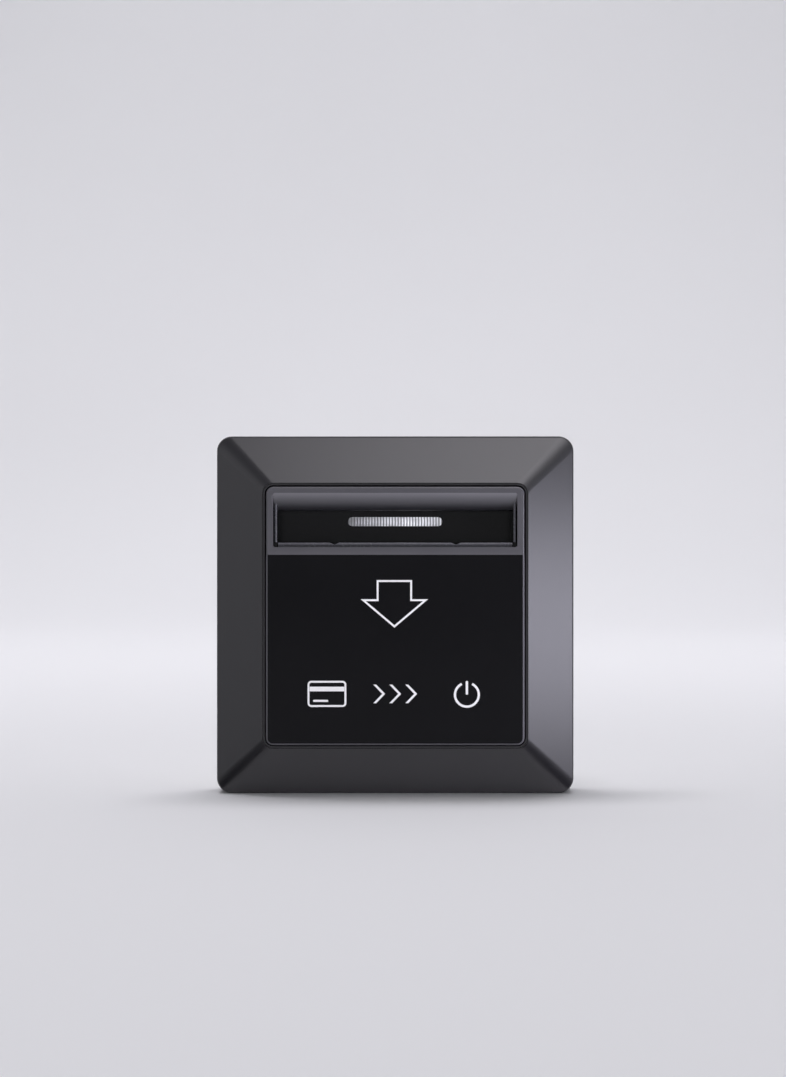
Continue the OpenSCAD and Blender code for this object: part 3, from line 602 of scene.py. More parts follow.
def make_cheeks():
    """The thin cheeks at both sides of the card, whose front edges run up into the roll."""
    cheek = block("cover_cheeks", CHEEK_IN, CHEEK_OUT, CHEEK_LOW, CHEEK_TOP, CHEEK_BACK, CHEEK_FACE)
    middle = (CHEEK_LOW + CHEEK_TOP) / 2
    round_where(cheek, lambda e: level(e, CHEEK_FACE) and near(mid(e).y, middle), CHEEK_ROUND, 3)
    return join(cheek, copy_of(cheek, flip_x=True))


def make_panel():
    panel = rounded_block(
        "panel_face", -COVER_HALF, COVER_HALF, -COVER_HALF, BAR_LOW, COVER_BACK, PANEL_FACE, COVER_R,
        where=lambda p: p.y < 0
    )
    round_where(panel, lambda e: level(e, PANEL_FACE) and mid(e).y < BAR_LOW - CLOSE, PANEL_CUT, 1)
    return panel


def make_guide():
    """The plate behind the panel, with its lip, two notches and two ribs down the card's pocket."""
    guide = block("guide_plate", -TRAY_HALF, TRAY_HALF, -TRAY_HALF, SCOOP_LOW, GUIDE_BACK, COVER_BACK)
    lip = block("lip", -LIP_HALF, LIP_HALF, SCOOP_LOW - OVERLAP, LIP_TOP, GUIDE_BACK, COVER_BACK)

    def lip_edge(edge):
        return all(near(v.co.y, LIP_TOP) for v in edge.verts) and near(mid(edge).x, 0)

    round_where(lip, lip_edge, LIP_ROUND, 4)

    def narrow(piece):
        pick(piece, "VERT", lambda v: v.co.y < LIP_TOP - GAP)
        bpy.ops.transform.resize(value=(0, 1, 1), center_override=(NOTCH_X, 0, 0))

    notch = wedge(
        "notch", NOTCH_X - NOTCH_HALF, NOTCH_X + NOTCH_HALF, LIP_TOP - NOTCH_DEPTH, LIP_TOP + GAP,
        GUIDE_BACK - PAST, COVER_BACK + PAST, narrow
    )
    groove = block(
        "groove", -HALF, HALF, SCOOP_LOW, LIP_GROOVE_TOP, COVER_BACK - LIP_GROOVE_DEPTH, COVER_BACK + PAST
    )
    combine(lip, "DIFFERENCE", copy_of(notch, flip_x=True), notch, groove)
    combine(guide, "UNION", lip)

    def thin(piece):
        pick(piece, "VERT", lambda v: v.co.y > 0)
        bpy.ops.transform.resize(value=(1, 1, 0), center_override=(0, 0, RIB_FACE))

    rib = wedge("rib", NOTCH_X - RIB_HALF, NOTCH_X + RIB_HALF, RIB_LOW, BAR_LOW, RIB_BACK, RIB_FACE, thin)
    combine(guide, "UNION", copy_of(rib, flip_x=True), rib)
    ease(guide, width=0.06)
    return guide


def make_tray():
    """The dark scoop behind the card, which goes on down as the card's pocket."""
    tray = rounded_block(
        "tray_scoop", -TRAY_HALF, TRAY_HALF, -TRAY_HALF, TRAY_HALF, TRAY_BACK, GUIDE_BACK, INSIDE_R
    )
    top = rounded_block(
        "top", -TRAY_HALF, TRAY_HALF, LIP_TOP + GAP, TRAY_HALF, TOP_ROOT, COVER_BACK, INSIDE_R,
        where=lambda p: p.y > LENS_Y
    )
    combine(tray, "UNION", top, make_tabs(TRAY_HALF - OVERLAP, EAR_BACK, FLANGE_BACK))

    over = COVER_BACK + PAST
    scoop = block("scoop", -CHEEK_IN, CHEEK_IN, SCOOP_LOW, ROLL_LOW, TRAY_FLOOR, over)
    slit = block("slit", CHEEK_OUT, SLIT_OUT, LIP_TOP, ROLL_LOW, SLIT_BACK, over)
    slits = (copy_of(slit, flip_x=True), slit)
    room = block("room", -HALF, HALF, ROLL_LOW - GAP, HALF, ROLL_BACK - GAP, over)
    pocket = block(
        "pocket", -LIP_HALF, LIP_HALF, POCKET_LOW, SCOOP_LOW + PAST, TRAY_FLOOR, over + PAST
    )
    slot = stadium(
        "slot", LENS_L + LENS_GAP, LENS_H + LENS_GAP, LENS_Y, TRAY_BACK - PAST, TRAY_FLOOR + PAST
    )
    hole = rod("hole", HOLE_R, EAR_BACK - PAST, FLANGE_BACK + PAST, sides=24)
    combine(tray, "DIFFERENCE", pocket, scoop, *slits, slot, four(hole, SCREW_X, SCREW_Y), room)
    return tray


def make_lens():
    """A bar with round ends, a raised line round its edge and ribs across the field inside."""
    lens = stadium("lens_bar", LENS_L, LENS_H, LENS_Y, TRAY_BACK - OVERLAP, LENS_FACE)
    round_where(lens, lambda e: level(e, LENS_FACE), LENS_ROUND, 2)
    line = 2 * LENS_LINE
    sunk = stadium("sunk", LENS_L - line, LENS_H - line, LENS_Y, LENS_FIELD, LENS_FACE + PAST)
    combine(lens, "DIFFERENCE", sunk)
    brim = 2 * LENS_BRIM
    combine(lens, "UNION", stadium("flange", LENS_L + brim, LENS_H + brim, LENS_Y, LENS_BACK, TRAY_BACK))
    deselect()
    first = -(LENS_RIBS - 1) * LENS_PITCH / 2
    bpy.ops.mesh.primitive_cylinder_add(
        vertices=16, radius=LENS_RIB_R, depth=LENS_RIB_L, location=(first, LENS_Y, LENS_FIELD),
        rotation=(math.pi / 2, 0, 0)
    )
    rib = started("rib")
    edit(rib)
    pick(rib, "FACE", lambda f: abs(f.normal.y) > STRAIGHT)
    bpy.ops.mesh.bevel(offset=LENS_RIB_ROUND, segments=2, affect="EDGES")
    done()
    row = rib.modifiers.new("row", "ARRAY")
    row.count = LENS_RIBS
    row.use_relative_offset = False
    row.use_constant_offset = True
    row.constant_offset_displace = (LENS_PITCH, 0, 0)
    apply_all(rib)
    return join(lens, rib)


def face_up(piece):
    """In edit mode, turns every face of a flat piece to the front."""
    turn_outwards()
    if pick(piece, "FACE", lambda f: f.normal.z < 0):
        bpy.ops.mesh.flip_normals()


def outline(name, points, z):
    """One flat face with its corners at the given points."""
    deselect()
    bpy.ops.mesh.primitive_circle_add(
        vertices=len(points), radius=1, fill_type="NGON", location=(0, 0, 0)
    )
    piece = started(name)
    for vertex, (x, y) in zip(piece.data.vertices, points):
        vertex.co = (x, y, z)
    edit(piece)
    face_up(piece)
    done()
    return piece


def stroke(piece, width):
    """Leaves only a line of ink round the edge of a flat face."""
    edit(piece)
    bpy.ops.mesh.select_mode(type="FACE")
    bpy.ops.mesh.select_all(action="SELECT")
    bpy.ops.mesh.inset(thickness=width, depth=0)
    bpy.ops.mesh.delete(type="FACE")
    done()
    return piece


def flat(name, x0, x1, y0, y1, r, segments=6):
    """A flat face of ink with round corners."""
    piece = rounded_block(name, x0, x1, y0, y1, PRINT_BACK - 1, PRINT_BACK, r, segments)
    edit(piece)
    pick(piece, "FACE", lambda f: not looks_up(f))
    bpy.ops.mesh.delete(type="FACE")
    done()
    return piece


def make_chevron(x, y):
    """A bent stroke that points to the right."""
    back, tip = x + CHEVRON_INK, x + CHEVRON_REACH
    low, high = y - CHEVRON_HALF, y + CHEVRON_HALF
    points = [(x, high), (back, high), (tip + CHEVRON_INK, y), (back, low), (x, low), (tip, y)]
    return outline("chevron", points, PRINT_BACK)


def make_power_sign(y):
    """A ring that is open at its top, with a bar standing in the gap."""
    deselect()
    bpy.ops.mesh.primitive_circle_add(
        vertices=56, radius=POWER_R, fill_type="NGON", location=(POWER_X, y - POWER_DROP, PRINT_BACK)
    )
    ring = stroke(started("ring"), POWER_INK)

    def in_gap(face):
        across, up = face.calc_center_median().xy
        return up > y + POWER_DROP and abs(across - POWER_X) < POWER_GAP

    edit(ring)
    pick(ring, "FACE", in_gap)
    bpy.ops.mesh.delete(type="FACE")
    done()
    bar = flat("bar", POWER_X - POWER_BAR, POWER_X + POWER_BAR, y - POWER_DROP, ROW_HIGH, 0.25, 3)
    return ring, bar


def make_print():
    """The arrow, and below it a card, three chevrons and a power sign, as a thin layer of ink."""
    left, right = ARROW_X - SHAFT_HALF, ARROW_X + SHAFT_HALF
    arrow = stroke(outline("panel_print", [
        (left, ARROW_TOP), (left, ARROW_WING), (ARROW_X - WING_HALF, ARROW_WING), (ARROW_X, ARROW_TIP),
        (ARROW_X + WING_HALF, ARROW_WING), (right, ARROW_WING), (right, ARROW_TOP)
    ], PRINT_BACK), INK)

    middle = (ROW_LOW + ROW_HIGH) / 2
    card = stroke(flat("card", CARD_LEFT, CARD_RIGHT, ROW_LOW, ROW_HIGH, CARD_R), INK)
    stripe = flat("stripe", CARD_LEFT + 0.5, CARD_RIGHT - 0.5, middle + 0.6, middle + 1.7, 0.1, 2)
    line = flat("line", CARD_LEFT + 1.3, CARD_LEFT + 4.9, middle - 1.9, middle - 1.4, 0.2, 3)
    chevrons = [make_chevron(x, middle) for x in CHEVRON_X]
    ring, bar = make_power_sign(middle)
    marks = join(arrow, card, stripe, ring, bar, line, *chevrons)
    edit(marks)
    face_up(marks)
    bpy.ops.mesh.select_all(action="SELECT")
    bpy.ops.mesh.extrude_region_move(TRANSFORM_OT_translate={"value": (0, 0, PRINT_FACE - PRINT_BACK)})
    done()
    return marks


def eased_copy(node, name, width):
    """A copy of a node's shape with its flat faces made whole and its edges rounded, already in metres."""
    source = nodes[node]
    piece = source.copy()
    piece.data = source.data.copy()
    piece.name = name
    piece.data.name = name
    bpy.context.scene.collection.objects.link(piece)
    piece.parent = None
    piece.matrix_world = Matrix.Identity(4)
    take(piece)
    bpy.ops.mesh.customdata_custom_splitnormals_clear()
    edit(piece)
    bpy.ops.mesh.select_all(action="SELECT")
    bpy.ops.mesh.remove_doubles(threshold=1e-6)
    bpy.ops.mesh.dissolve_limited(angle_limit=math.radians(1))
    done()
    ease(piece, width * MM, segments=3)
    return piece


def make_bare_field():
    """What is cut out of the back of the housing for a shallow field, which stays bare."""
    floor = HOUSING_BACK + FIELD_DEPTH
    field = rounded_block(
        "field", -FIELD_HALF, FIELD_HALF, FIELD_LOW, FIELD_HIGH, HOUSING_BACK - 4 * PAST, floor, FIELD_R, 8
    )
    round_where(field, lambda e: level(e, floor), 0.15, 2)
    hang(field)
    return field


def make_coil():
    """The reader's coil: turns of wire drawn in one after another from the outside."""
    coil = rounded_block(
        "coil_turns", -COIL_HALF, COIL_HALF, COIL_LOW, COIL_HIGH, BOARD_FACE, BOARD_FACE + COIL_TALL,
        COIL_R, 8
    )
    edit(coil)
    pick(coil, "FACE", looks_up)
    for _ in range(COIL_TURNS):
        for rise in (0.22, 0.08, -0.08, -0.22):
            bpy.ops.mesh.inset(thickness=COIL_WIRE / 4, depth=rise)
    draw_out(-COIL_TALL)
    open_through(coil, BOARD_FACE)
    turn_outwards()
    done()
    return coil


def make_lamps():
    """Two lamps: a white body with a round well, and the yellow filling in it."""
    lamp = rounded_block(
        "lamp_bodies", -LAMP_HALF_X, LAMP_HALF_X, LAMP_Y - LAMP_HALF_Y, LAMP_Y + LAMP_HALF_Y, BOARD_FACE,
        LAMP_FACE, LAMP_R, 3
    )
    well = rod("well", WELL_R, LAMP_FACE - WELL_DEPTH, LAMP_FACE + PAST, 0, LAMP_Y, 32)
    combine(lamp, "DIFFERENCE", well)
    ease(lamp, width=0.06)
    filling = rod("lamp_fillings", FILLING_R, FILLING_BACK, FILLING_FACE, 0, LAMP_Y, 32)
    round_where(filling, lambda e: level(e, FILLING_FACE), 0.08, 2)
    pairs = []
    for piece in (lamp, filling):
        other = copy_of(piece, -LAMP_X)
        shift(piece, LAMP_X, 0)
        pairs.append(join(piece, other))
    return pairs


def make_chip():
    """The reader's chip, with eased edges and a round mark in one corner."""
    chip = block(
        "reader_chip_body", -CHIP_HALF, CHIP_HALF, CHIP_Y - CHIP_HALF, CHIP_Y + CHIP_HALF, BOARD_FACE,
        CHIP_FACE
    )
    ease(chip, width=0.12)
    corner = CHIP_HALF * 0.68
    dot = rod("dot", CHIP_HALF / 9, CHIP_FACE - 0.08, CHIP_FACE + 0.08, -corner, CHIP_Y + corner, 24)
    return combine(chip, "DIFFERENCE", dot)


# Materials

# The Mix node's colour sockets, which share their names with its other sockets
MIX_A, MIX_B, MIX_OUT = 6, 7, 2


def colour(code):
    """An sRGB hex value as the linear colour that the shader takes."""
    parts = [int(code[i:i + 2], 16) / 255 for i in (1, 3, 5)]
    linear = [p / 12.92 if p <= 0.04045 else ((p + 0.055) / 1.055) ** 2.4 for p in parts]
    return (*linear, 1.0)


def add(tree, kind, inputs=None, **settings):
    """Adds one node with its settings, its values and its links."""
    node = tree.nodes.new(kind)
    for name, value in settings.items():
        setattr(node, name, value)
    for name, value in (inputs or {}).items():
        if isinstance(value, bpy.types.NodeSocket):
            tree.links.new(value, node.inputs[name])
        else:
            node.inputs[name].default_value = value
    return node


def per_mm(size):
    """The texture scale at which one feature is so many millimetres wide."""
    return 1000.0 / size


def started_material(name):
    material = bpy.data.materials.new(name)
    material.use_nodes = True
    tree = material.node_tree
    tree.nodes.clear()
    coords = add(tree, "ShaderNodeTexCoord").outputs["Object"]
    return material, tree, coords


def finished_material(tree, **sockets):
    names = {key.replace("_", " "): value for key, value in sockets.items()}
    shader = add(tree, "ShaderNodeBsdfPrincipled", names)
    add(tree, "ShaderNodeOutputMaterial", {"Surface": shader.outputs["BSDF"]})


def surface(name, light, dark, rough, grain, relief, patch=9.0, spread=0.05, **sockets):
    """A finish with a fine grain in its relief and gloss, and a slow drift in its colour."""
    material, tree, coords = started_material(name)
    drift = add(tree, "ShaderNodeTexNoise", {"Vector": coords, "Scale": per_mm(patch), "Detail": 2.0})
    fine = add(tree, "ShaderNodeTexNoise", {"Vector": coords, "Scale": per_mm(grain), "Detail": 3.0})
    mix = add(
        tree, "ShaderNodeMix", {"Factor": drift.outputs["Fac"], MIX_A: colour(dark), MIX_B: colour(light)},
        data_type="RGBA"
    )
    gloss = add(tree, "ShaderNodeMapRange", {
        "Value": fine.outputs["Fac"], "From Min": 0.3, "From Max": 0.7,
        "To Min": rough - spread, "To Max": rough + spread
    })
    bump = add(tree, "ShaderNodeBump", {
        "Height": fine.outputs["Fac"], "Strength": 0.35, "Distance": relief * MM
    })
    finished_material(
        tree, Base_Color=mix.outputs[MIX_OUT], Roughness=gloss.outputs["Result"],
        Normal=bump.outputs["Normal"], **sockets
    )
    return material


# Satin ABS, spark-textured mould: an even black that turns grey where light glances off it
satin_black_abs = surface(
    "satin_black_abs", "#1d1c20", "#19181c", 0.33, 0.22, 0.004, IOR=1.54
)
# The same ABS with more grey in it, as moulded for the inner cover
satin_grey_abs = surface(
    "satin_grey_abs", "#4b4a4f", "#454449", 0.38, 0.22, 0.004, IOR=1.54
)
# The guide's ABS, left smooth by a polished mould: clean highlights along its lip
smooth_grey_abs = surface(
    "smooth_grey_abs", "#4a4a50", "#424248", 0.25, 0.4, 0.002, IOR=1.54
)
# Black ABS from a polished mould: glossy, with soft wide highlights
gloss_black_abs = surface(
    "gloss_black_abs", "#121214", "#0f0f11", 0.16, 0.8, 0.002, IOR=1.54, Specular_IOR_Level=0.2
)
# Screen-printed ink: flat matt white with slightly uneven cover
white_ink = surface("white_ink", "#f6f6f6", "#e9e9ea", 0.5, 0.12, 0.002, patch=1.2)
# Zinc-plated steel: cool bright metal with a little clouding
zinc_steel = surface("zinc_steel", "#c6c8cc", "#a9abb0", 0.3, 0.15, 0.003, patch=1.5, Metallic=1.0)
# Flame-proof polycarbonate: warm white, faintly grained
white_polycarbonate = surface("white_polycarbonate", "#ebeae4", "#e2e1da", 0.42, 0.3, 0.006, IOR=1.58)
# Enamelled copper wire: orange metal under clear varnish
enamelled_copper = surface(
    "enamelled_copper", "#c8713a", "#a9552a", 0.28, 0.2, 0.002, patch=3.0, Metallic=1.0, Coat_Weight=0.6,
    Coat_Roughness=0.1
)
# White lamp plastic: bright and slightly glossy
lamp_plastic = surface("lamp_plastic", "#f4f3ec", "#ebeae0", 0.3, 0.2, 0.002, patch=1.0)
# Phosphor in silicone: soft yellow
phosphor_silicone = surface("phosphor_silicone", "#f0cf4e", "#e2b938", 0.35, 0.1, 0.003, patch=0.5)
# Moulded epoxy of chips and connectors: dull black with fine grit
black_epoxy = surface("black_epoxy", "#232326", "#1a1a1c", 0.6, 0.12, 0.004, patch=1.5)
# Natural nylon: creamy and waxy
natural_nylon = surface("natural_nylon", "#e9e3cf", "#ddd6bf", 0.4, 0.3, 0.003, patch=3.0)
# Nickel-plated soft iron: grey metal, slightly dull
nickel_iron = surface("nickel_iron", "#b4b3b0", "#989794", 0.34, 0.2, 0.003, patch=2.0, Metallic=1.0)
# Stamped brass: yellow metal with slight tarnish
stamped_brass = surface("stamped_brass", "#d0a857", "#a8803a", 0.32, 0.2, 0.003, patch=1.6, Metallic=1.0)
# Blue polyester moulding of the relay's case: smooth and saturated
blue_polyester = surface("blue_polyester", "#1f58a0", "#194a8a", 0.3, 0.4, 0.002)
# Potted film capacitor: amber box with a slightly orange-peel skin
amber_polyester = surface("amber_polyester", "#d9922c", "#c98423", 0.28, 0.6, 0.004)
# Shrunk PVC sleeve: near black, glossy, tight
shrunk_sleeve = surface("shrunk_sleeve", "#272a33", "#1e2028", 0.22, 0.5, 0.003)
# Polyester tape round a winding: bright yellow with a soft sheen
yellow_tape = surface("yellow_tape", "#e3c23d", "#d0ad2c", 0.34, 0.5, 0.004, patch=2.5)
# Dipped epoxy: blue, glossy and a little lumpy
dipped_epoxy = surface("dipped_epoxy", "#2f6bb5", "#27599a", 0.2, 0.9, 0.01)
# Glazed ceramic tube: cold white gloss
glazed_ceramic = surface("glazed_ceramic", "#eeeee8", "#e2e2da", 0.15, 1.2, 0.002)
# Flame-proof nylon of the terminal block: green, slightly fibrous
green_nylon = surface("green_nylon", "#2f7a4a", "#28683f", 0.45, 0.25, 0.006)


def circuit_board():
    """Glass fibre under green solder mask: darker green with lighter tracks that run across and up."""
    material, tree, coords = started_material("green_solder_mask")
    fibre = add(tree, "ShaderNodeTexNoise", {"Vector": coords, "Scale": per_mm(0.5), "Detail": 2.0})
    flat_coords = add(tree, "ShaderNodeMapping", {"Vector": coords, "Rotation": (-math.pi / 2, 0, 0)})
    tracks = add(
        tree, "ShaderNodeTexBrick", {
            "Vector": flat_coords.outputs["Vector"], "Scale": per_mm(1.0), "Brick Width": 5.3,
            "Row Height": 1.27, "Mortar Size": 0.12, "Mortar Smooth": 0.1, "Mortar": (1, 1, 1, 1),
            "Color1": (0, 0, 0, 1), "Color2": (0.15, 0.15, 0.15, 1)
        }, offset=0.37, squash=0.6, squash_frequency=3
    )
    islands = add(tree, "ShaderNodeTexNoise", {"Vector": coords, "Scale": per_mm(7.0), "Detail": 1.0})
    there = add(tree, "ShaderNodeMapRange", {
        "Value": islands.outputs["Fac"], "From Min": 0.45, "From Max": 0.5
    })
    track = add(
        tree, "ShaderNodeMath", {0: tracks.outputs["Color"], 1: there.outputs["Result"]},
        operation="MULTIPLY"
    )
    mix = add(
        tree, "ShaderNodeMix",
        {"Factor": track.outputs["Value"], MIX_A: colour("#14532f"), MIX_B: colour("#2a7a48")},
        data_type="RGBA"
    )
    height = add(
        tree, "ShaderNodeMath", {0: fibre.outputs["Fac"], 1: track.outputs["Value"]}, operation="ADD"
    )
    bump = add(tree, "ShaderNodeBump", {
        "Height": height.outputs["Value"], "Strength": 0.4, "Distance": 0.01 * MM
    })
    finished_material(tree, Base_Color=mix.outputs[MIX_OUT], Roughness=0.25, Normal=bump.outputs["Normal"])
    return material


def cut_acrylic():
    """Black acrylic, polished on its face: deep black, with a paler matt line where its edges are cut; that
    line is also made paler as a painted highlight along the edges.
    """
    material, tree, coords = started_material("polished_black_acrylic")
    facing = add(tree, "ShaderNodeSeparateXYZ", {"Vector": coords.node.outputs["Normal"]}).outputs["Y"]
    # Matt cut edges, painted paler than the face as a highlight along the panel's edges
    cut = add(tree, "ShaderNodeMapRange", {"Value": facing, "From Min": -0.95, "From Max": -0.85})
    drift = add(tree, "ShaderNodeTexNoise", {"Vector": coords, "Scale": per_mm(9.0), "Detail": 2.0})
    face = add(
        tree, "ShaderNodeMix",
        {"Factor": drift.outputs["Fac"], MIX_A: colour("#101012"), MIX_B: colour("#131315")},
        data_type="RGBA"
    )
    tone = add(
        tree, "ShaderNodeMix",
        {"Factor": cut.outputs["Result"], MIX_A: face.outputs[MIX_OUT], MIX_B: colour("#605f64")},
        data_type="RGBA"
    )
    gloss = add(tree, "ShaderNodeMapRange", {"Value": cut.outputs["Result"], "To Min": 0.12, "To Max": 0.5})
    ripple = add(tree, "ShaderNodeTexNoise", {"Vector": coords, "Scale": per_mm(2.5), "Detail": 3.0})
    bump = add(tree, "ShaderNodeBump", {
        "Height": ripple.outputs["Fac"], "Strength": 0.35, "Distance": 0.001 * MM
    })
    finished_material(
        tree, Base_Color=tone.outputs[MIX_OUT], Roughness=gloss.outputs["Result"], IOR=1.49,
        Specular_IOR_Level=0.1, Normal=bump.outputs["Normal"]
    )
    return material


def painted_shade_grey():
    """The cover's ABS on the roll, with painted light and shade: grey above where the roll faces the light,
    near black below where it turns down and away.
    """
    material, tree, coords = started_material("painted_shade_grey_abs")
    height = add(tree, "ShaderNodeSeparateXYZ", {"Vector": coords}).outputs["Z"]
    # Painted shade: the colour darkens from the top of the window down to the roll's lower edge
    painted_shade_fade = add(tree, "ShaderNodeMapRange", {
        "Value": height, "From Min": ROLL_LOW * MM, "From Max": WINDOW_TOP * MM
    })
    late = add(tree, "ShaderNodeMath", {0: painted_shade_fade.outputs["Result"], 1: 1.5}, operation="POWER")
    tone = add(
        tree, "ShaderNodeMix",
        {"Factor": late.outputs["Value"], MIX_A: colour("#26262a"), MIX_B: colour("#6d6c71")},
        data_type="RGBA"
    )
    spark = add(tree, "ShaderNodeTexNoise", {"Vector": coords, "Scale": per_mm(0.22), "Detail": 3.0})
    bump = add(tree, "ShaderNodeBump", {
        "Height": spark.outputs["Fac"], "Strength": 0.35, "Distance": 0.004 * MM
    })
    finished_material(
        tree, Base_Color=tone.outputs[MIX_OUT], Roughness=0.5, IOR=1.54, Normal=bump.outputs["Normal"]
    )
    return material


def lit_lens():
    """Clear polycarbonate with diffusing ribs, lit from behind: white ribs, dimmer between them, and dimmed
    towards its left end by painted shade.
    """
    material, tree, coords = started_material("ribbed_polycarbonate")
    ribs = add(tree, "ShaderNodeTexWave", {"Vector": coords, "Scale": math.tau / 20 * per_mm(LENS_PITCH)})
    drift = add(tree, "ShaderNodeTexNoise", {"Vector": coords, "Scale": per_mm(4.0), "Detail": 2.0})
    uneven = add(tree, "ShaderNodeMapRange", {
        "Value": drift.outputs["Fac"], "From Min": 0.35, "From Max": 0.65, "To Min": 0.55, "To Max": 1.0
    })
    across = add(tree, "ShaderNodeSeparateXYZ", {"Vector": coords}).outputs["X"]
    # Painted shade: the glow fades towards the lens's left end
    painted_shade_left = add(tree, "ShaderNodeMapRange", {
        "Value": across, "From Min": -9 * MM, "From Max": 2 * MM, "To Min": 0.3, "To Max": 1.0
    })
    spread = add(
        tree, "ShaderNodeMath", {0: uneven.outputs["Result"], 1: painted_shade_left.outputs["Result"]},
        operation="MULTIPLY"
    )
    glow = add(
        tree, "ShaderNodeMath", {0: ribs.outputs["Fac"], 1: spread.outputs["Value"]}, operation="MULTIPLY"
    )
    finished_material(
        tree, Base_Color=colour("#a4a5aa"), Roughness=0.16, IOR=1.58, Emission_Color=colour("#f6f7ff"),
        Emission_Strength=glow.outputs["Value"]
    )
    return material


green_solder_mask = circuit_board()
polished_black_acrylic = cut_acrylic()
painted_shade_grey_abs = painted_shade_grey()
ribbed_polycarbonate = lit_lens()

# Pieces of the front, each with its shading angle, slot, material and the nodes that it stands for
dress("front", [
    (make_frame(), 35, "satin_black", satin_black_abs, ("front_frame",)),
    (make_cover(), 35, "satin_grey", satin_grey_abs, ("centre_cover",)),
    # The roll's material holds painted light and shade in its colour
    (make_roll(), 35, "satin_grey", painted_shade_grey_abs, ()),
    (make_cheeks(), 35, "satin_grey", smooth_grey_abs, ()),
    (make_panel(), 35, "gloss_black", polished_black_acrylic, ("front_panel",)),
    (make_guide(), 35, "satin_grey", smooth_grey_abs, ("card_guide",)),
    (make_tray(), 35, "tray_black", gloss_black_abs, ("card_tray",)),
    (make_lens(), 40, "clear_lens", ribbed_polycarbonate, ("indicator_lens",)),
    (make_print(), 30, "lamp_white", white_ink, ()),
])

# Pieces behind it
lamp_bodies, lamp_fillings = make_lamps()
dress("base", [
    (make_coil(), 60, "copper_wire", enamelled_copper, ("antenna_coil",)),
    (lamp_bodies, 35, "lamp_white", lamp_plastic, ("indicator_leds",)),
    (lamp_fillings, 35, "taped_yellow", phosphor_silicone, ()),
    (make_chip(), 35, "chip_black", black_epoxy, ("reader_chip",)),
])

# Mouldings copied from their nodes, each with the width of its rounded edges
eased = [
    ("base_plate", "plate_body", 0.25, "white_moulding", white_polycarbonate),
    ("rear_housing", "housing_body", 0.45, "white_moulding", white_polycarbonate),
    ("terminal_block", "terminal_body", 0.25, "terminal_green", green_nylon),
]
for node, name, width, slot, finish in eased:
    piece = eased_copy(node, name, width)
    if name == "housing_body":
        combine(piece, "DIFFERENCE", make_bare_field())
    smooth(piece)
    fit(piece, "base", slot, finish, node)

# Nodes that keep their shape and only get a material
finishes = [
    (zinc_steel, ("front_screws", "plate_screws", "board_screws", "terminal_screws")),
    (green_solder_mask, ("reader_board", "power_board")),
    (black_epoxy, ("controller_chip", "board_header", "relay_base")),
    (natural_nylon, ("board_spacers", "relay_bobbin")),
    (nickel_iron, ("relay_yoke", "relay_core", "relay_armature")),
    (enamelled_copper, ("relay_winding",)),
    (stamped_brass, ("relay_contact_arm", "relay_fixed_contact", "terminal_clamps")),
    (blue_polyester, ("relay_cover",)),
    (amber_polyester, ("film_capacitor",)),
    (shrunk_sleeve, ("electrolytic_capacitor",)),
    (yellow_tape, ("transformer",)),
    (dipped_epoxy, ("varistor",)),
    (glazed_ceramic, ("fuse",)),
]
for finish, coated in finishes:
    for node in coated:
        coat(nodes[node], finish)

# Stage: a pale sweep of paper from the floor up behind the object, in metres
FLOOR = -HALF * MM
SWEEP_WIDTH = 12.0
SWEEP_DEPTH = 3.4
SWEEP_FRONT = 4.0
SWEEP_HEIGHT = 3.0
SWEEP_BEND = 0.9
SWEEP_END = SWEEP_DEPTH / 2 - 0.1
deselect()
bpy.ops.mesh.primitive_plane_add(size=1, location=(0, 0, FLOOR))
sweep = started("sweep", (SWEEP_WIDTH, SWEEP_DEPTH, 1))
edit(sweep)
pick(sweep, "EDGE", lambda e: mid(e).y < -SWEEP_END)
bpy.ops.transform.translate(value=(0, -SWEEP_FRONT, 0))
pick(sweep, "EDGE", lambda e: mid(e).y > SWEEP_END)
bpy.ops.mesh.extrude_region_move(TRANSFORM_OT_translate={"value": (0, 0, SWEEP_HEIGHT)})
pick(sweep, "EDGE", lambda e: mid(e).y > SWEEP_END and level(e, FLOOR))
bpy.ops.mesh.bevel(offset=SWEEP_BEND, segments=16, affect="EDGES")
done()
take(sweep)
bpy.ops.object.shade_smooth()
paper, tree, coords = started_material("pale_paper")
fibre = add(tree, "ShaderNodeTexNoise", {"Vector": coords, "Scale": per_mm(600.0), "Detail": 1.0})
tone = add(
    tree, "ShaderNodeMix",
    {"Factor": fibre.outputs["Fac"], MIX_A: colour("#e6e7e8"), MIX_B: colour("#eeeff0")},
    data_type="RGBA"
)
finished_material(tree, Base_Color=tone.outputs[MIX_OUT], Roughness=0.8, Specular_IOR_Level=0.0)
coat(sweep, paper)

# Black felt: dark in the gloss at the lower mitres
black_felt = surface("black_felt", "#0c0c0c", "#060606", 0.95, 0.5, 0.05, patch=2.0, Specular_IOR_Level=0.0)
# White card: bright in the gloss of the lower and right slopes
white_card = surface("white_card", "#fbfbfb", "#f6f6f6", 0.9, 0.5, 0.01, patch=6.0, Specular_IOR_Level=0.0)

# Cards that lie just above the floor round the lower edge and show only in the frame's gloss
FLOOR_GAP = 0.1
cards = {
    "left_flag": (black_felt, [(-43, -9), (-34, -43), (-75, -43)]),
    "right_flag": (black_felt, [(43, -9), (34, -43), (75, -43)]),
    "front_card": (white_card, [(-42.7, -9), (42.7, -9), (33.5, -45), (-33.5, -45)]),
    "right_card": (white_card, [(78, -20), (185, -55), (155, -125), (78, -52)]),
}
for name, (finish, corners) in cards.items():
    card = outline(name, corners, FLOOR_GAP - HALF)
    card.scale = (MM, MM, MM)
    take(card)
    settle()
    card.visible_camera = False
    card.visible_diffuse = False
    card.visible_shadow = False
    coat(card, finish)

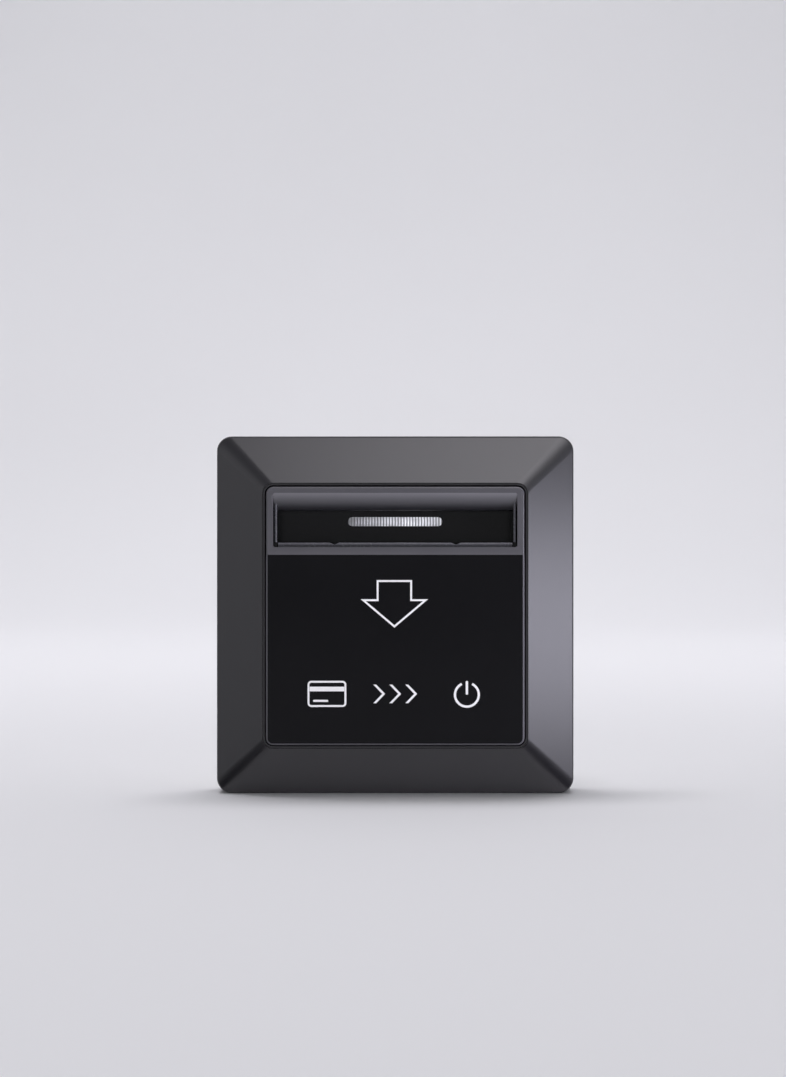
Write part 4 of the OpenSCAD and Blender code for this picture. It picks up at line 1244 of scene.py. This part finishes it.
# Room: weak pale light from all round, which shows brighter in gloss except overhead
ROOM_FILL = 0.2
ROOM_SHOWN = 0.6
world = bpy.data.worlds.new("studio")
bpy.context.scene.world = world
world.use_nodes = True
tree = world.node_tree
tree.nodes.clear()
paths = add(tree, "ShaderNodeLightPath")
shown = paths.outputs["Is Camera Ray"]
for path in ("Is Glossy Ray", "Is Transmission Ray"):
    either = add(tree, "ShaderNodeMath", {0: shown, 1: paths.outputs[path]}, operation="MAXIMUM")
    shown = either.outputs["Value"]
around = add(tree, "ShaderNodeTexCoord").outputs["Generated"]
height = add(tree, "ShaderNodeSeparateXYZ", {"Vector": around}).outputs["Z"]
seen = add(tree, "ShaderNodeMapRange", {
    "Value": height, "From Min": 0.35, "From Max": 0.55, "To Min": ROOM_SHOWN, "To Max": ROOM_FILL
})
strength = add(tree, "ShaderNodeMapRange", {
    "Value": shown, "To Min": ROOM_FILL, "To Max": seen.outputs["Result"]
})
room = add(tree, "ShaderNodeBackground", {
    "Color": colour("#f4f6fa"), "Strength": strength.outputs["Result"]
})
add(tree, "ShaderNodeOutputWorld", {"Surface": room.outputs["Background"]})

# The object and the paper are lit apart: no bright patch beside the object, and its shadow stays dark
no_paper = bpy.data.collections.new("no_paper")
no_paper.objects.link(sweep)
no_paper.collection_objects[0].light_linking.link_state = "EXCLUDE"
paper_only = bpy.data.collections.new("paper_only")
paper_only.objects.link(sweep)


def soft_box(name, place, width, height, radiance, target=(0, -0.012, 0), lit=None, tint="#fcf9ff"):
    """A soft box of the given brightness that faces the target and stays out of the picture."""
    light = bpy.data.lights.new(name, "AREA")
    light.color = colour(tint)[:3]
    light.shape = "RECTANGLE"
    light.size = width
    light.size_y = height
    light.energy = radiance * math.pi * width * height
    box = bpy.data.objects.new(name, light)
    bpy.context.scene.collection.objects.link(box)
    box.visible_camera = False
    box.location = place
    aim = Vector(target) - Vector(place)
    box.rotation_euler = aim.to_track_quat("-Z", "Y").to_euler()
    if lit:
        box.light_linking.receiver_collection = lit


# Boxes for the object, then scrims over the floor, then one box for the paper and one for the wall behind
soft_box("top_box", (0.21, -0.36, 0.58), 0.56, 0.45, 4.15, lit=no_paper)
soft_box(
    "right_box", (0.2, -0.115, -0.01), 0.15, 0.068, 8.6, (0.037, -0.012, -0.007),
    lit=no_paper, tint="#f0eeff"
)
soft_box("left_box", (-0.6, -0.36, 0.15), 0.4, 0.4, 0.45, lit=no_paper)
soft_box("back_box", (-0.3, 0.8, 0.26), 0.6, 0.5, 3.0, lit=no_paper)
soft_box("scrim", (0, 1.0, 2.0), 4.0, 4.0, 0.4, (0, 1.0, 0))
soft_box("front_scrim", (0, -5.2, 2.0), 8.0, 4.0, 0.55, (0, -5.2, 0))
soft_box("paper_box", (-0.1, 0.16, 1.3), 0.9, 0.28, 11.0, (0, -0.25, 0), lit=paper_only)
soft_box("wall_box", (0, 0.3, 1.0), 2.0, 0.5, 2.7, (0, 2.0, 0.5))

# Camera: square on, a little above the middle of the plate
CAMERA_PLACE = (-0.53, -456, 18.36)
camera = bpy.data.cameras.new("camera")
camera.lens = 62
camera.sensor_width = 36
viewer = bpy.data.objects.new("camera", camera)
bpy.context.scene.collection.objects.link(viewer)
viewer.location = [length * MM for length in CAMERA_PLACE]
viewer.rotation_euler = (math.pi / 2, 0, 0)
bpy.context.scene.camera = viewer
bpy.context.scene.view_settings.view_transform = "Standard"
